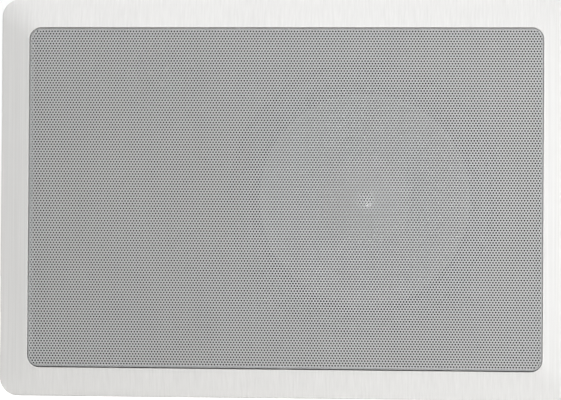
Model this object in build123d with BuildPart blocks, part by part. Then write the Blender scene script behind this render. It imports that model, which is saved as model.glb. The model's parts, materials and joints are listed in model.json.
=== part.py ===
from build123d import *
import os
from math import asin, cos, sin, sqrt

# In-wall speaker, millimetres. X is right and Z is up as seen from the room, Y runs into the wall.
# The wall's surface is Y = 0, and the origin is the centre of the frame on it.

# Frame moulding
frame_width = 310.0
frame_height = 216.0
frame_corner_radius = 10.0
flange_width = 15.7
opening_corner_radius = 6.5
edge_thickness = 2.2
lip_height = 6.5
flange_skin = 2.2
foot_width = 3.0
edge_rounding = 0.8
lip_rounding = 0.25
edge_pick = 0.01
skirt_wall = 2.2
skirt_depth = 24.0
baffle_front = 5.0
baffle_thickness = 3.0
rib_thickness = 1.6
flange_ribs_across = 8
flange_ribs_up = 5
baffle_rib_height = 4.0
boss_wall = 2.0

# Grille pan, pressed in between ribs on the frame's inner wall
grille_gap = 0.5
grille_drop = 0.8
grille_sheet = 0.7
grille_depth = 10.0
grille_bend_radius = 0.9
grip_rib_width = 4.0
grip_rib_height = 6.0

# Woofer
woofer_z = 0.0
woofer_margin = 9.3
woofer_side_margin = 13.3
woofer_screw_inset = 4.0
basket_flange_width = 13.5
basket_sheet = 1.2
basket_floor_radius = 37.0
basket_floor_depth = 47.0
spider_seat_depth = 37.2
spider_seat_radius = 47.0
spider_seat_width = 6.5
basket_window_spokes = 6
basket_spoke_width = 13.0
basket_window_margin = 5.0
baffle_hole_clearance = 0.8
gasket_thickness = 1.6
gasket_width = 4.0
surround_sheet = 0.8
surround_roll_radius = 5.0
surround_land = 2.5
cone_depth = 24.0
cone_sheet = 0.9
cap_radius = 24.0
cap_height = 9.0
cap_sheet = 0.6
former_radius = 13.1
former_wall = 0.4
former_neck = 1.4
coil_thickness = 0.8
coil_height = 11.0
spider_sheet = 0.6
spider_waves = 3
spider_wave_height = 1.2
spider_collar = 3.0
glue_gap = 0.1
magnet_gap = 0.5
top_plate_radius = 37.5
top_plate_thickness = 5.0
magnet_radius = 45.0
magnet_bore_radius = 17.0
magnet_thickness = 15.0
yoke_radius = 40.0
yoke_thickness = 5.0
yoke_chamfer = 1.5

# Tweeter: a ball in a socket
tweeter_inset = 25.5
driver_gap = 24.4
tweeter_pivot_depth = 9.0
ball_radius = 19.0
ball_half_length = 7.0
ball_clearance = 0.25
socket_half_length = 6.0
socket_wall = 1.6
socket_flange_radius = 22.6
socket_flange_thickness = 1.4
capsule_radius = 15.6
capsule_window_radius = 11.0
face_ring_width = 2.4
face_thickness = 3.0
guard_rise = 2.8
guard_leg_width = 1.5
guard_leg_thickness = 1.2
guard_hub_radius = 2.2
guard_legs = 3
guard_turn = 45.0
dome_radius = 12.5
dome_height = 4.0
dome_sheet = 0.5
tweeter_coil_wall = 0.6
tweeter_coil_height = 3.0
tweeter_gap = 0.4
tweeter_pole_thickness = 2.0
tweeter_magnet_thickness = 4.0
tweeter_magnet_inset = 1.0
tweeter_cup_floor = 2.5
tweeter_cup_wall = 2.2

# Crossover board and terminals, on bosses behind the baffle
board_inset_x = 37.3
board_inset_z = 66.3
board_width = 60.0
board_height = 84.0
board_thickness = 1.6
board_boss_height = 6.0
board_boss_radius = 3.2
board_screw_inset = 5.0
choke_offset_x = -8.0
choke_offset_z = 20.0
choke_radius = 16.0
choke_core_radius = 7.0
choke_flange = 1.6
choke_height = 15.0
capacitor_large_offset_x = 18.0
capacitor_large_offset_z = 8.0
capacitor_large_radius = 8.0
capacitor_large_length = 32.0
capacitor_small_offset_x = -12.0
capacitor_small_offset_z = -8.0
capacitor_small_radius = 5.0
capacitor_small_length = 22.0
capacitor_groove_depth = 0.6
capacitor_groove_width = 1.4
capacitor_groove_inset = 3.5
resistor_offset_x = 16.0
resistor_offset_z = -17.0
resistor_length = 22.0
resistor_side = 9.0
resistor_rounding = 1.0
terminal_offset_z = -32.0
terminal_width = 38.0
terminal_height = 17.0
terminal_depth = 15.0
terminal_rounding = 1.5
terminal_margin = 2.0
lever_pitch = 18.0
lever_width = 12.0
lever_height = 7.0
lever_stand = 4.0
lever_travel = 2.5
lever_clearance = 0.3
lever_body = 9.0
lever_rounding = 1.0
wire_hole_radius = 1.6

# Wall clamps: a screw in each corner turns a dog out of its tower and draws it towards the wall
clamp_inset_x = 13.3
clamp_inset_z = 12.3
clamp_screw_radius = 2.0
clamp_screw_length = 52.0
clamp_thread_clearance = 0.1
dog_width = 10.0
dog_reach = 27.0
dog_thickness = 10.0
dog_rest_depth = 44.0
dog_step = 3.0
dog_step_length = 9.0
tower_wall = 1.8
tower_clearance = 0.5
tower_reach = 20.0
tower_depth = 50.0

# Screws
screw_head_radius = 3.9
screw_head_height = 2.4
screw_slot_width = 1.0
screw_slot_length = 4.4
screw_slot_depth = 1.2
screw_crown_share = 0.5
screw_top_share = 0.7
screw_tip_share = 0.6
woofer_screw_radius = 1.7
woofer_screw_length = 12.0
board_screw_radius = 1.3
board_screw_length = 6.0
pilot_clearance = 0.1
hole_clearance = 0.3

# Sizes that follow
opening_width = frame_width - 2 * flange_width
opening_height = frame_height - 2 * flange_width
skirt_width = opening_width + 2 * skirt_wall
skirt_height = opening_height + 2 * skirt_wall
skirt_corner_radius = opening_corner_radius + skirt_wall
flange_slope = (lip_height - edge_thickness) / flange_width
hollow_rise = lip_height - flange_skin - skirt_wall * flange_slope
baffle_back = baffle_front + baffle_thickness
grille_width = opening_width - 2 * grille_gap
grille_height = opening_height - 2 * grille_gap
grille_corner_radius = opening_corner_radius - grille_gap
grille_front = grille_drop - lip_height

woofer_flange_radius = opening_height / 2 - woofer_margin
woofer_x = opening_width / 2 - woofer_flange_radius - woofer_side_margin
woofer_screw_radius_out = woofer_flange_radius - woofer_screw_inset
basket_face = baffle_front - basket_sheet
roll_outer = woofer_flange_radius - basket_flange_width
cone_radius = roll_outer - 2 * surround_roll_radius
gasket_inner = roll_outer + surround_sheet + hole_clearance
gasket_outer = gasket_inner + gasket_width
surround_front = basket_face - surround_sheet
cone_land_radius = cone_radius - surround_land
cone_neck_radius = former_radius + glue_gap
cone_neck_depth = basket_face + cone_depth
cone_slope = cone_depth / (cone_land_radius - cone_neck_radius)
cap_edge = basket_face + (cone_land_radius - cap_radius) * cone_slope - cap_sheet - glue_gap
coil_radius = former_radius + glue_gap / 2 + coil_thickness
top_plate_front = basket_floor_depth + basket_sheet
gap_radius = coil_radius + magnet_gap
pole_radius = former_radius - former_wall - magnet_gap
coil_front = top_plate_front + top_plate_thickness / 2 - coil_height / 2
magnet_front = top_plate_front + top_plate_thickness
yoke_front = magnet_front + magnet_thickness
woofer_hole_radius = roll_outer + basket_sheet + baffle_hole_clearance

driver_spacing = woofer_flange_radius + socket_flange_radius + driver_gap
tweeter_z = opening_height / 2 - tweeter_inset
tweeter_x = woofer_x - sqrt(driver_spacing**2 - (tweeter_z - woofer_z) ** 2)

board_x = board_inset_x - opening_width / 2
board_z = board_inset_z - opening_height / 2
choke_x = board_x + choke_offset_x
choke_z = board_z + choke_offset_z
resistor_x = board_x + resistor_offset_x
resistor_z = board_z + resistor_offset_z
terminal_x = board_x
terminal_z = board_z + terminal_offset_z
board_front = baffle_back + board_boss_height
board_back = board_front + board_thickness
board_screw_x = board_width / 2 - board_screw_inset
board_screw_z = board_height / 2 - board_screw_inset
clamp_x = opening_width / 2 - clamp_inset_x
clamp_z = opening_height / 2 - clamp_inset_z
clamp_corners = [(1, 1), (-1, 1), (-1, -1), (1, -1)]
clamp_names = ["right_top", "left_top", "left_bottom", "right_bottom"]
dog_half = dog_width / 2
tower_gap = dog_half + tower_clearance


# Sketch plane parallel to the wall at a given depth: local x is right, local y is up, and a negative
# extrusion goes deeper into the wall
def layer(depth, x=0.0, z=0.0):
    return Plane(origin=(x, depth, z), x_dir=(1, 0, 0), z_dir=(0, -1, 0))


# Half-section plane through an axis along Y: local x is the radius and local y is the depth
def section(x, z):
    return Plane(origin=(x, 0, z), x_dir=(1, 0, 0), z_dir=(0, 0, 1))


def depth_axis(x, z):
    return Axis((x, 0, z), (0, 1, 0))


# A round part turned about an axis along Y, from the corners of its half section
def turned(corners, x, z):
    with BuildPart() as body:
        with BuildSketch(section(x, z)):
            with BuildLine():
                Polyline(*corners, close=True)
            make_face()
        revolve(axis=depth_axis(x, z))
    return body.part


def ring(inner, outer, front, back, x, z):
    return turned([(inner, front), (outer, front), (outer, back), (inner, back)], x, z)


# Pan-head screw whose head bears on the given depth. Way is 1 where it points into the wall, and a screw
# that the user drives has its cross recess
def pan_screw(x, z, bearing, shank_radius, shank_length, way=1, driven=False):
    head_top = bearing - way * screw_head_height
    crown = bearing - way * screw_head_height * screw_crown_share
    tip = bearing + way * shank_length
    tip_radius = shank_radius * screw_tip_share
    with BuildPart() as screw:
        with BuildSketch(section(x, z)):
            with BuildLine():
                Polyline(
                    (0, head_top),
                    (0, tip),
                    (tip_radius, tip),
                    (shank_radius, tip - way * shank_radius),
                    (shank_radius, bearing),
                    (screw_head_radius, bearing),
                    (screw_head_radius, crown),
                    (screw_head_radius * screw_top_share, head_top),
                    close=True,
                )
            make_face()
        revolve(axis=depth_axis(x, z))
        if driven:
            with BuildSketch(layer(head_top, x, z)):
                Rectangle(screw_slot_length, screw_slot_width)
                Rectangle(screw_slot_width, screw_slot_length)
            extrude(amount=-way * screw_slot_depth, mode=Mode.SUBTRACT)
    return screw.part


def write(part, name):
    part.label = name
    export_step(part, f"parts/{name}.step")


os.makedirs("parts", exist_ok=True)

# Hollow behind the sloped flange, left solid at the ribs and at the foot that meets the wall
with BuildPart() as hollow:
    with BuildSketch(layer(0)):
        RectangleRounded(
            frame_width - 2 * foot_width, frame_height - 2 * foot_width, frame_corner_radius - foot_width
        )
    with BuildSketch(layer(-hollow_rise)):
        RectangleRounded(skirt_width, skirt_height, skirt_corner_radius)
    loft(ruled=True)
    with BuildSketch(layer(0)):
        RectangleRounded(skirt_width, skirt_height, skirt_corner_radius)
    extrude(amount=lip_height, mode=Mode.SUBTRACT)
    with BuildSketch(layer(0)):
        with GridLocations(frame_width / (flange_ribs_across + 1), 0, flange_ribs_across, 1):
            Rectangle(rib_thickness, frame_height)
        with GridLocations(0, frame_height / (flange_ribs_up + 1), 1, flange_ribs_up):
            Rectangle(frame_width, rib_thickness)
    extrude(amount=lip_height, mode=Mode.SUBTRACT)

# Frame: sloped flange, skirt, recessed baffle, bosses and clamp towers in one moulding
with BuildPart() as frame:
    with BuildSketch(layer(0)):
        RectangleRounded(frame_width, frame_height, frame_corner_radius)
    extrude(amount=edge_thickness)
    with BuildSketch(layer(-edge_thickness)):
        RectangleRounded(frame_width, frame_height, frame_corner_radius)
    with BuildSketch(layer(-lip_height)):
        RectangleRounded(opening_width, opening_height, opening_corner_radius)
    loft(ruled=True)
    add(hollow.part, mode=Mode.SUBTRACT)
    with BuildSketch(layer(0)):
        RectangleRounded(skirt_width, skirt_height, skirt_corner_radius)
    extrude(amount=-skirt_depth)
    # room for the grille in front of the baffle, and the open back behind it
    with BuildSketch(layer(-lip_height)):
        RectangleRounded(opening_width, opening_height, opening_corner_radius)
    extrude(amount=-lip_height - baffle_front, mode=Mode.SUBTRACT)
    fillet(frame.edges().group_by(Axis.Y)[0], radius=lip_rounding)
    outer_edge = frame.edges().filter_by_position(
        Axis.Y, -edge_thickness - edge_pick, -edge_thickness + edge_pick
    )
    fillet(outer_edge, radius=edge_rounding)
    with BuildSketch(layer(baffle_back)):
        RectangleRounded(opening_width, opening_height, opening_corner_radius)
    extrude(amount=-skirt_depth, mode=Mode.SUBTRACT)
    # ribs that grip the folded edge of the grille
    with BuildSketch(layer(baffle_front)):
        with GridLocations(opening_width / 3, opening_height - grille_gap, 3, 2):
            Rectangle(grip_rib_width, grille_gap)
        with GridLocations(opening_width - grille_gap, opening_height / 2, 2, 2):
            Rectangle(grille_gap, grip_rib_width)
    extrude(amount=grip_rib_height)
    # stiffening ring round the woofer hole and ribs across the back of the baffle
    with BuildSketch(layer(baffle_back, woofer_x, woofer_z)):
        Circle(woofer_hole_radius + rib_thickness)
    extrude(amount=-baffle_rib_height)
    with BuildSketch(layer(baffle_back)):
        with Locations((woofer_x, woofer_z)):
            with PolarLocations(0, 4):
                Rectangle(2 * woofer_flange_radius, rib_thickness)
        with Locations((board_x - board_screw_x, 0), (board_x + board_screw_x, 0)):
            Rectangle(rib_thickness, opening_height)
    extrude(amount=-baffle_rib_height)
    # bosses: woofer screws, crossover board and clamp screws
    with BuildSketch(layer(baffle_back, woofer_x, woofer_z)):
        with PolarLocations(woofer_screw_radius_out, 4, start_angle=45):
            Circle(woofer_screw_radius + boss_wall)
    extrude(amount=-(woofer_screw_length - baffle_thickness - basket_sheet + boss_wall))
    with BuildSketch(layer(baffle_back, board_x, board_z)):
        with GridLocations(2 * board_screw_x, 2 * board_screw_z, 2, 2):
            Circle(board_boss_radius)
    extrude(amount=-board_boss_height)
    with BuildSketch(layer(baffle_back)):
        with GridLocations(2 * clamp_x, 2 * clamp_z, 2, 2):
            Circle(clamp_screw_radius + hole_clearance + boss_wall)
    extrude(amount=-board_boss_height)
    # clamp towers: two walls that stop the dog when it is tucked in and when it is out
    with BuildSketch(layer(baffle_back)):
        for side_x, side_z in clamp_corners:
            inner_wall = clamp_z - tower_gap - tower_wall / 2
            outer_wall = clamp_x + tower_gap + tower_wall / 2
            inner_length = tower_reach + tower_gap + tower_wall
            outer_length = opening_height / 2 - clamp_z + tower_gap + tower_wall
            with Locations((side_x * (outer_wall + tower_wall / 2 - inner_length / 2), side_z * inner_wall)):
                Rectangle(inner_length, tower_wall)
            with Locations((side_x * outer_wall, side_z * (opening_height / 2 - outer_length / 2))):
                Rectangle(tower_wall, outer_length)
    extrude(amount=-(tower_depth - baffle_back))
    # openings in the skirt that let the dogs swing out
    with BuildSketch(layer(baffle_back + board_boss_height)):
        for side_x, side_z in clamp_corners:
            with Locations((side_x * clamp_x, side_z * skirt_height / 2)):
                Rectangle(2 * tower_gap, 4 * skirt_wall)
    extrude(amount=-skirt_depth, mode=Mode.SUBTRACT)
    # holes through the baffle
    with BuildSketch(layer(baffle_front)):
        with Locations((woofer_x, woofer_z)):
            Circle(woofer_hole_radius)
        with Locations((tweeter_x, tweeter_z)):
            Circle(ball_radius + ball_clearance + socket_wall + glue_gap)
        with GridLocations(2 * clamp_x, 2 * clamp_z, 2, 2):
            Circle(clamp_screw_radius + hole_clearance)
    extrude(amount=-skirt_depth, mode=Mode.SUBTRACT)
    # pilot holes for the screws
    with BuildSketch(layer(baffle_front, woofer_x, woofer_z)):
        with PolarLocations(woofer_screw_radius_out, 4, start_angle=45):
            Circle(woofer_screw_radius + pilot_clearance)
    extrude(amount=-woofer_screw_length, mode=Mode.SUBTRACT)
    with BuildSketch(layer(board_front, board_x, board_z)):
        with GridLocations(2 * board_screw_x, 2 * board_screw_z, 2, 2):
            Circle(board_screw_radius + pilot_clearance)
    extrude(amount=board_screw_length, mode=Mode.SUBTRACT)
write(frame.part, "frame")

# Grille: steel sheet folded to a shallow pan
with BuildPart() as grille:
    with BuildSketch(layer(grille_front)):
        RectangleRounded(grille_width, grille_height, grille_corner_radius)
    extrude(amount=-grille_depth)
    fillet(grille.edges().group_by(Axis.Y)[0], radius=grille_bend_radius)
    offset(amount=-grille_sheet, openings=grille.faces().sort_by(Axis.Y)[-1])
write(grille.part, "grille")

# Woofer basket: pressed steel, with a flange, windows, a seat for the spider and a floor for the motor
with BuildPart() as woofer_basket:
    with BuildSketch(section(woofer_x, woofer_z)):
        with BuildLine():
            Polyline(
                (woofer_flange_radius, basket_face),
                (roll_outer, basket_face),
                (spider_seat_radius, spider_seat_depth),
                (spider_seat_radius - spider_seat_width, spider_seat_depth),
                (basket_floor_radius, basket_floor_depth),
                (gap_radius, basket_floor_depth),
            )
            offset(amount=basket_sheet, side=Side.RIGHT, kind=Kind.INTERSECTION)
        make_face()
    revolve(axis=depth_axis(woofer_x, woofer_z))
    window_outer = roll_outer - basket_window_margin
    window_inner = spider_seat_radius + basket_window_margin
    with BuildSketch(layer(baffle_front + basket_sheet, woofer_x, woofer_z)):
        Circle(window_outer)
        Circle(window_inner, mode=Mode.SUBTRACT)
        with PolarLocations(0, basket_window_spokes // 2, start_angle=90):
            Rectangle(2 * roll_outer, basket_spoke_width, mode=Mode.SUBTRACT)
    extrude(amount=-spider_seat_depth, mode=Mode.SUBTRACT)
    with BuildSketch(layer(basket_face, woofer_x, woofer_z)):
        with PolarLocations(woofer_screw_radius_out, 4, start_angle=45):
            Circle(woofer_screw_radius + hole_clearance)
    extrude(amount=-basket_sheet, mode=Mode.SUBTRACT)
write(woofer_basket.part, "woofer_basket")

# Surround: half-roll edge between the basket's flange and the cone
with BuildPart() as woofer_surround:
    with BuildSketch(section(woofer_x, woofer_z)):
        roll_middle = cone_radius + surround_roll_radius
        with BuildLine():
            Line((gasket_outer, basket_face), (roll_outer, basket_face))
            ThreePointArc(
                (roll_outer, basket_face),
                (roll_middle, basket_face - surround_roll_radius),
                (cone_radius, basket_face),
            )
            Line((cone_radius, basket_face), (cone_land_radius, basket_face))
            offset(amount=surround_sheet, side=Side.LEFT)
        make_face()
    revolve(axis=depth_axis(woofer_x, woofer_z))
write(woofer_surround.part, "woofer_surround")

gasket_front = surround_front - gasket_thickness
write(ring(gasket_inner, gasket_outer, gasket_front, surround_front, woofer_x, woofer_z), "woofer_gasket")

# Cone: straight-sided, with a narrow flat land under the surround
with BuildPart() as woofer_cone:
    with BuildSketch(section(woofer_x, woofer_z)):
        with BuildLine():
            Polyline(
                (cone_radius, basket_face),
                (cone_land_radius, basket_face),
                (cone_neck_radius, cone_neck_depth),
            )
            offset(amount=cone_sheet, side=Side.RIGHT, kind=Kind.INTERSECTION)
        make_face()
    revolve(axis=depth_axis(woofer_x, woofer_z))
write(woofer_cone.part, "woofer_cone")

# Dust cap: shallow spherical shell
with BuildPart() as dust_cap:
    cap_sphere = (cap_radius**2 + cap_height**2) / (2 * cap_height)
    cap_half_angle = asin(cap_radius / cap_sphere) / 2
    cap_apex = cap_edge - cap_height
    with BuildSketch(section(woofer_x, woofer_z)):
        with BuildLine():
            ThreePointArc(
                (cap_radius, cap_edge),
                (cap_sphere * sin(cap_half_angle), cap_apex + cap_sphere * (1 - cos(cap_half_angle))),
                (0, cap_apex),
            )
            offset(amount=cap_sheet, side=Side.RIGHT)
        make_face()
    revolve(axis=depth_axis(woofer_x, woofer_z))
write(dust_cap.part, "dust_cap")

former_front = cone_neck_depth - former_neck
former_back = coil_front + coil_height
former_inner = former_radius - former_wall
write(ring(former_inner, former_radius, former_front, former_back, woofer_x, woofer_z), "coil_former")
coil_inner = former_radius + glue_gap / 2
write(ring(coil_inner, coil_radius, coil_front, former_back, woofer_x, woofer_z), "voice_coil")

# Spider: corrugated disc that centres the coil
with BuildPart() as spider:
    wave_start = cone_neck_radius + spider_collar
    wave_end = spider_seat_radius - spider_seat_width
    half_wave = (wave_end - wave_start) / (2 * spider_waves)
    with BuildSketch(section(woofer_x, woofer_z)):
        with BuildLine():
            pleats = [
                (wave_start + (step + 0.5) * half_wave, spider_seat_depth + spider_wave_height * (-1) ** step)
                for step in range(2 * spider_waves)
            ]
            Polyline(
                (cone_neck_radius, spider_seat_depth),
                (wave_start, spider_seat_depth),
                *pleats,
                (wave_end, spider_seat_depth),
                (spider_seat_radius - hole_clearance, spider_seat_depth),
            )
            offset(amount=spider_sheet, side=Side.RIGHT, kind=Kind.INTERSECTION)
        make_face()
    revolve(axis=depth_axis(woofer_x, woofer_z))
write(spider.part, "spider")

# Magnet system: ring plate, ferrite ring, and a back plate with the pole in one piece
write(ring(gap_radius, top_plate_radius, top_plate_front, magnet_front, woofer_x, woofer_z), "top_plate")
write(ring(magnet_bore_radius, magnet_radius, magnet_front, yoke_front, woofer_x, woofer_z), "ferrite_magnet")
yoke = turned(
    [
        (0, top_plate_front),
        (pole_radius, top_plate_front),
        (pole_radius, yoke_front),
        (yoke_radius, yoke_front),
        (yoke_radius, yoke_front + yoke_thickness - yoke_chamfer),
        (yoke_radius - yoke_chamfer, yoke_front + yoke_thickness),
        (0, yoke_front + yoke_thickness),
    ],
    woofer_x,
    woofer_z,
)
write(yoke, "yoke")

diagonal = woofer_screw_radius_out * sqrt(0.5)
woofer_screw_list = [
    pan_screw(woofer_x + dx, woofer_z + dz, basket_face, woofer_screw_radius, woofer_screw_length)
    for dx in (-diagonal, diagonal)
    for dz in (-diagonal, diagonal)
]
with BuildPart() as woofer_screws:
    for screw in woofer_screw_list:
        add(screw)
write(woofer_screws.part, "woofer_screws")

# Tweeter socket: a flanged ring glued in the baffle, hollowed to a sphere
socket_inner = ball_radius + ball_clearance
socket_radius = socket_inner + socket_wall
with BuildPart() as tweeter_socket:
    with BuildSketch(section(tweeter_x, tweeter_z)):
        socket_front = baffle_front - socket_flange_thickness
        socket_back = tweeter_pivot_depth + socket_half_length
        with BuildLine():
            Polyline(
                (0, socket_front),
                (socket_flange_radius, socket_front),
                (socket_flange_radius, baffle_front),
                (socket_radius, baffle_front),
                (socket_radius, socket_back),
                (0, socket_back),
                close=True,
            )
        make_face()
        with Locations((0, tweeter_pivot_depth)):
            Circle(socket_inner, mode=Mode.SUBTRACT)
    revolve(axis=depth_axis(tweeter_x, tweeter_z))
write(tweeter_socket.part, "tweeter_socket")

# Tweeter housing: a ball cut flat in front and behind, bored for the capsule
ball_front = tweeter_pivot_depth - ball_half_length
dome_base = ball_front + face_thickness
gap_front = dome_base + dome_sheet + glue_gap
pole_back = gap_front + tweeter_pole_thickness
tweeter_magnet_back = pole_back + tweeter_magnet_thickness
cup_back = tweeter_magnet_back + tweeter_cup_floor
with BuildPart() as tweeter_housing:
    with BuildSketch(section(tweeter_x, tweeter_z)):
        with Locations((0, tweeter_pivot_depth)):
            Circle(ball_radius)
        with Locations((ball_radius, tweeter_pivot_depth)):
            Rectangle(2 * ball_radius, 2 * ball_half_length, mode=Mode.INTERSECT)
        with Locations((0, ball_front)):
            Rectangle(
                2 * capsule_radius, cup_back - ball_front, align=(Align.CENTER, Align.MIN), mode=Mode.SUBTRACT
            )
        with Locations((0, tweeter_pivot_depth)):
            Rectangle(2 * capsule_window_radius, 2 * ball_radius, mode=Mode.SUBTRACT)
    revolve(axis=depth_axis(tweeter_x, tweeter_z))
write(tweeter_housing.part, "tweeter_housing")

# Tweeter motor, from the dome backwards
coil_outer = dome_radius - glue_gap
coil_back = dome_base + dome_sheet + tweeter_coil_height
with BuildPart() as tweeter_dome:
    dome_sphere = (dome_radius**2 + dome_height**2) / (2 * dome_height)
    dome_half_angle = asin(dome_radius / dome_sphere) / 2
    dome_apex = dome_base - dome_height
    with BuildSketch(section(tweeter_x, tweeter_z)):
        with BuildLine():
            Line((capsule_radius - glue_gap, dome_base), (dome_radius, dome_base))
            ThreePointArc(
                (dome_radius, dome_base),
                (dome_sphere * sin(dome_half_angle), dome_apex + dome_sphere * (1 - cos(dome_half_angle))),
                (0, dome_apex),
            )
            offset(amount=dome_sheet, side=Side.RIGHT)
        make_face()
    revolve(axis=depth_axis(tweeter_x, tweeter_z))
write(tweeter_dome.part, "tweeter_dome")

coil_ring_front = dome_base + dome_sheet + glue_gap / 2
coil_inside = coil_outer - tweeter_coil_wall
write(ring(coil_inside, coil_outer, coil_ring_front, coil_back, tweeter_x, tweeter_z), "tweeter_coil")
pole_outer = coil_inside - tweeter_gap
write(ring(0, pole_outer, gap_front, pole_back, tweeter_x, tweeter_z), "tweeter_pole_plate")
tweeter_magnet_radius = pole_outer - tweeter_magnet_inset
write(ring(0, tweeter_magnet_radius, pole_back, tweeter_magnet_back, tweeter_x, tweeter_z), "tweeter_magnet")
cup_inner = coil_outer + tweeter_gap
cup_radius = cup_inner + tweeter_cup_wall
tweeter_cup = turned(
    [
        (0, tweeter_magnet_back),
        (cup_inner, tweeter_magnet_back),
        (cup_inner, gap_front),
        (cup_radius, gap_front),
        (cup_radius, cup_back),
        (0, cup_back),
    ],
    tweeter_x,
    tweeter_z,
)
write(tweeter_cup, "tweeter_cup")

# Tweeter faceplate: a ring with a raised rim and three legs over the dome
with BuildPart() as tweeter_faceplate:
    face_outer = capsule_radius - glue_gap
    face_inner = face_outer - face_ring_width
    guard_front = ball_front - guard_rise
    with BuildSketch(section(tweeter_x, tweeter_z)):
        with BuildLine():
            Polyline(
                (face_inner, dome_base),
                (face_outer, dome_base),
                (face_outer, ball_front),
                (face_inner + guard_leg_thickness, guard_front),
                (face_inner, guard_front),
                close=True,
            )
        make_face()
    revolve(axis=depth_axis(tweeter_x, tweeter_z))
    leg_length = face_inner + guard_leg_thickness / 2
    with BuildSketch(layer(guard_front, tweeter_x, tweeter_z)):
        Circle(guard_hub_radius)
        for leg in range(guard_legs):
            with Locations(Location((0, 0), guard_turn + leg * 360 / guard_legs)):
                Rectangle(leg_length, guard_leg_width, align=(Align.MIN, Align.CENTER))
    extrude(amount=-guard_leg_thickness)
write(tweeter_faceplate.part, "tweeter_faceplate")

# Crossover board and its parts
with BuildPart() as crossover_board:
    with BuildSketch(layer(board_front, board_x, board_z)):
        Rectangle(board_width, board_height)
        with GridLocations(2 * board_screw_x, 2 * board_screw_z, 2, 2):
            Circle(board_screw_radius + hole_clearance, mode=Mode.SUBTRACT)
    extrude(amount=-board_thickness)
write(crossover_board.part, "crossover_board")

board_screw_list = [
    pan_screw(board_x + dx, board_z + dz, board_back, board_screw_radius, board_screw_length, way=-1)
    for dx in (-board_screw_x, board_screw_x)
    for dz in (-board_screw_z, board_screw_z)
]
with BuildPart() as crossover_screws:
    for screw in board_screw_list:
        add(screw)
write(crossover_screws.part, "crossover_screws")

choke_back = board_back + choke_height
choke_bobbin = turned(
    [
        (0, board_back),
        (choke_radius, board_back),
        (choke_radius, board_back + choke_flange),
        (choke_core_radius, board_back + choke_flange),
        (choke_core_radius, choke_back - choke_flange),
        (choke_radius, choke_back - choke_flange),
        (choke_radius, choke_back),
        (0, choke_back),
    ],
    choke_x,
    choke_z,
)
write(choke_bobbin, "choke_bobbin")
write(
    ring(
        choke_core_radius + glue_gap,
        choke_radius - choke_flange,
        board_back + choke_flange + glue_gap,
        choke_back - choke_flange - glue_gap,
        choke_x,
        choke_z,
    ),
    "choke_winding",
)


# Capacitor lying on the board along a direction, with a crimped groove near one end
def lying_can(offset_x, offset_z, radius, length, along, across):
    centre = (board_x + offset_x, board_back + radius, board_z + offset_z)
    middle = Plane(origin=centre, x_dir=across, z_dir=along)
    with BuildPart() as can:
        with BuildSketch(middle):
            Circle(radius)
        extrude(amount=length / 2, both=True)
        with BuildSketch(middle.offset(length / 2 - capacitor_groove_inset)):
            Circle(radius)
            Circle(radius - capacitor_groove_depth, mode=Mode.SUBTRACT)
        extrude(amount=capacitor_groove_width, mode=Mode.SUBTRACT)
    return can.part


capacitor_large = lying_can(
    capacitor_large_offset_x,
    capacitor_large_offset_z,
    capacitor_large_radius,
    capacitor_large_length,
    along=(0, 0, 1),
    across=(1, 0, 0),
)
write(capacitor_large, "capacitor_large")
capacitor_small = lying_can(
    capacitor_small_offset_x,
    capacitor_small_offset_z,
    capacitor_small_radius,
    capacitor_small_length,
    along=(1, 0, 0),
    across=(0, 0, 1),
)
write(capacitor_small, "capacitor_small")

with BuildPart() as resistor:
    with BuildSketch(layer(board_back, resistor_x, resistor_z)):
        Rectangle(resistor_length, resistor_side)
    extrude(amount=-resistor_side)
    fillet(resistor.edges().filter_by(Axis.Y), radius=resistor_rounding)
write(resistor.part, "resistor")

# Terminal block with two lever pockets and two wire holes, open towards the cavity
terminal_back = board_back + terminal_depth
lever_z = terminal_z + terminal_height / 2 - lever_height / 2 - terminal_margin
wire_z = terminal_z - terminal_height / 2 + wire_hole_radius + terminal_margin
lever_xs = [terminal_x - lever_pitch / 2, terminal_x + lever_pitch / 2]
with BuildPart() as terminal_block:
    with BuildSketch(layer(board_back, terminal_x, terminal_z)):
        RectangleRounded(terminal_width, terminal_height, terminal_rounding)
    extrude(amount=-terminal_depth)
    with BuildSketch(layer(terminal_back)):
        with Locations(*[(x, lever_z) for x in lever_xs]):
            Rectangle(lever_width + 2 * lever_clearance, lever_height + 2 * lever_clearance)
    extrude(amount=lever_body + lever_travel + lever_clearance, mode=Mode.SUBTRACT)
    with BuildSketch(layer(terminal_back)):
        with Locations(*[(x, wire_z) for x in lever_xs]):
            Circle(wire_hole_radius)
    extrude(amount=lever_body, mode=Mode.SUBTRACT)
write(terminal_block.part, "terminal_block")

for lever_x, lever_name in zip(lever_xs, ["terminal_lever_red", "terminal_lever_black"]):
    with BuildPart() as lever:
        with BuildSketch(layer(terminal_back + lever_stand, lever_x, lever_z)):
            Rectangle(lever_width, lever_height)
        extrude(amount=lever_stand + lever_body)
        fillet(lever.edges().group_by(Axis.Y)[-1], radius=lever_rounding)
    write(lever.part, lever_name)

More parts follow.
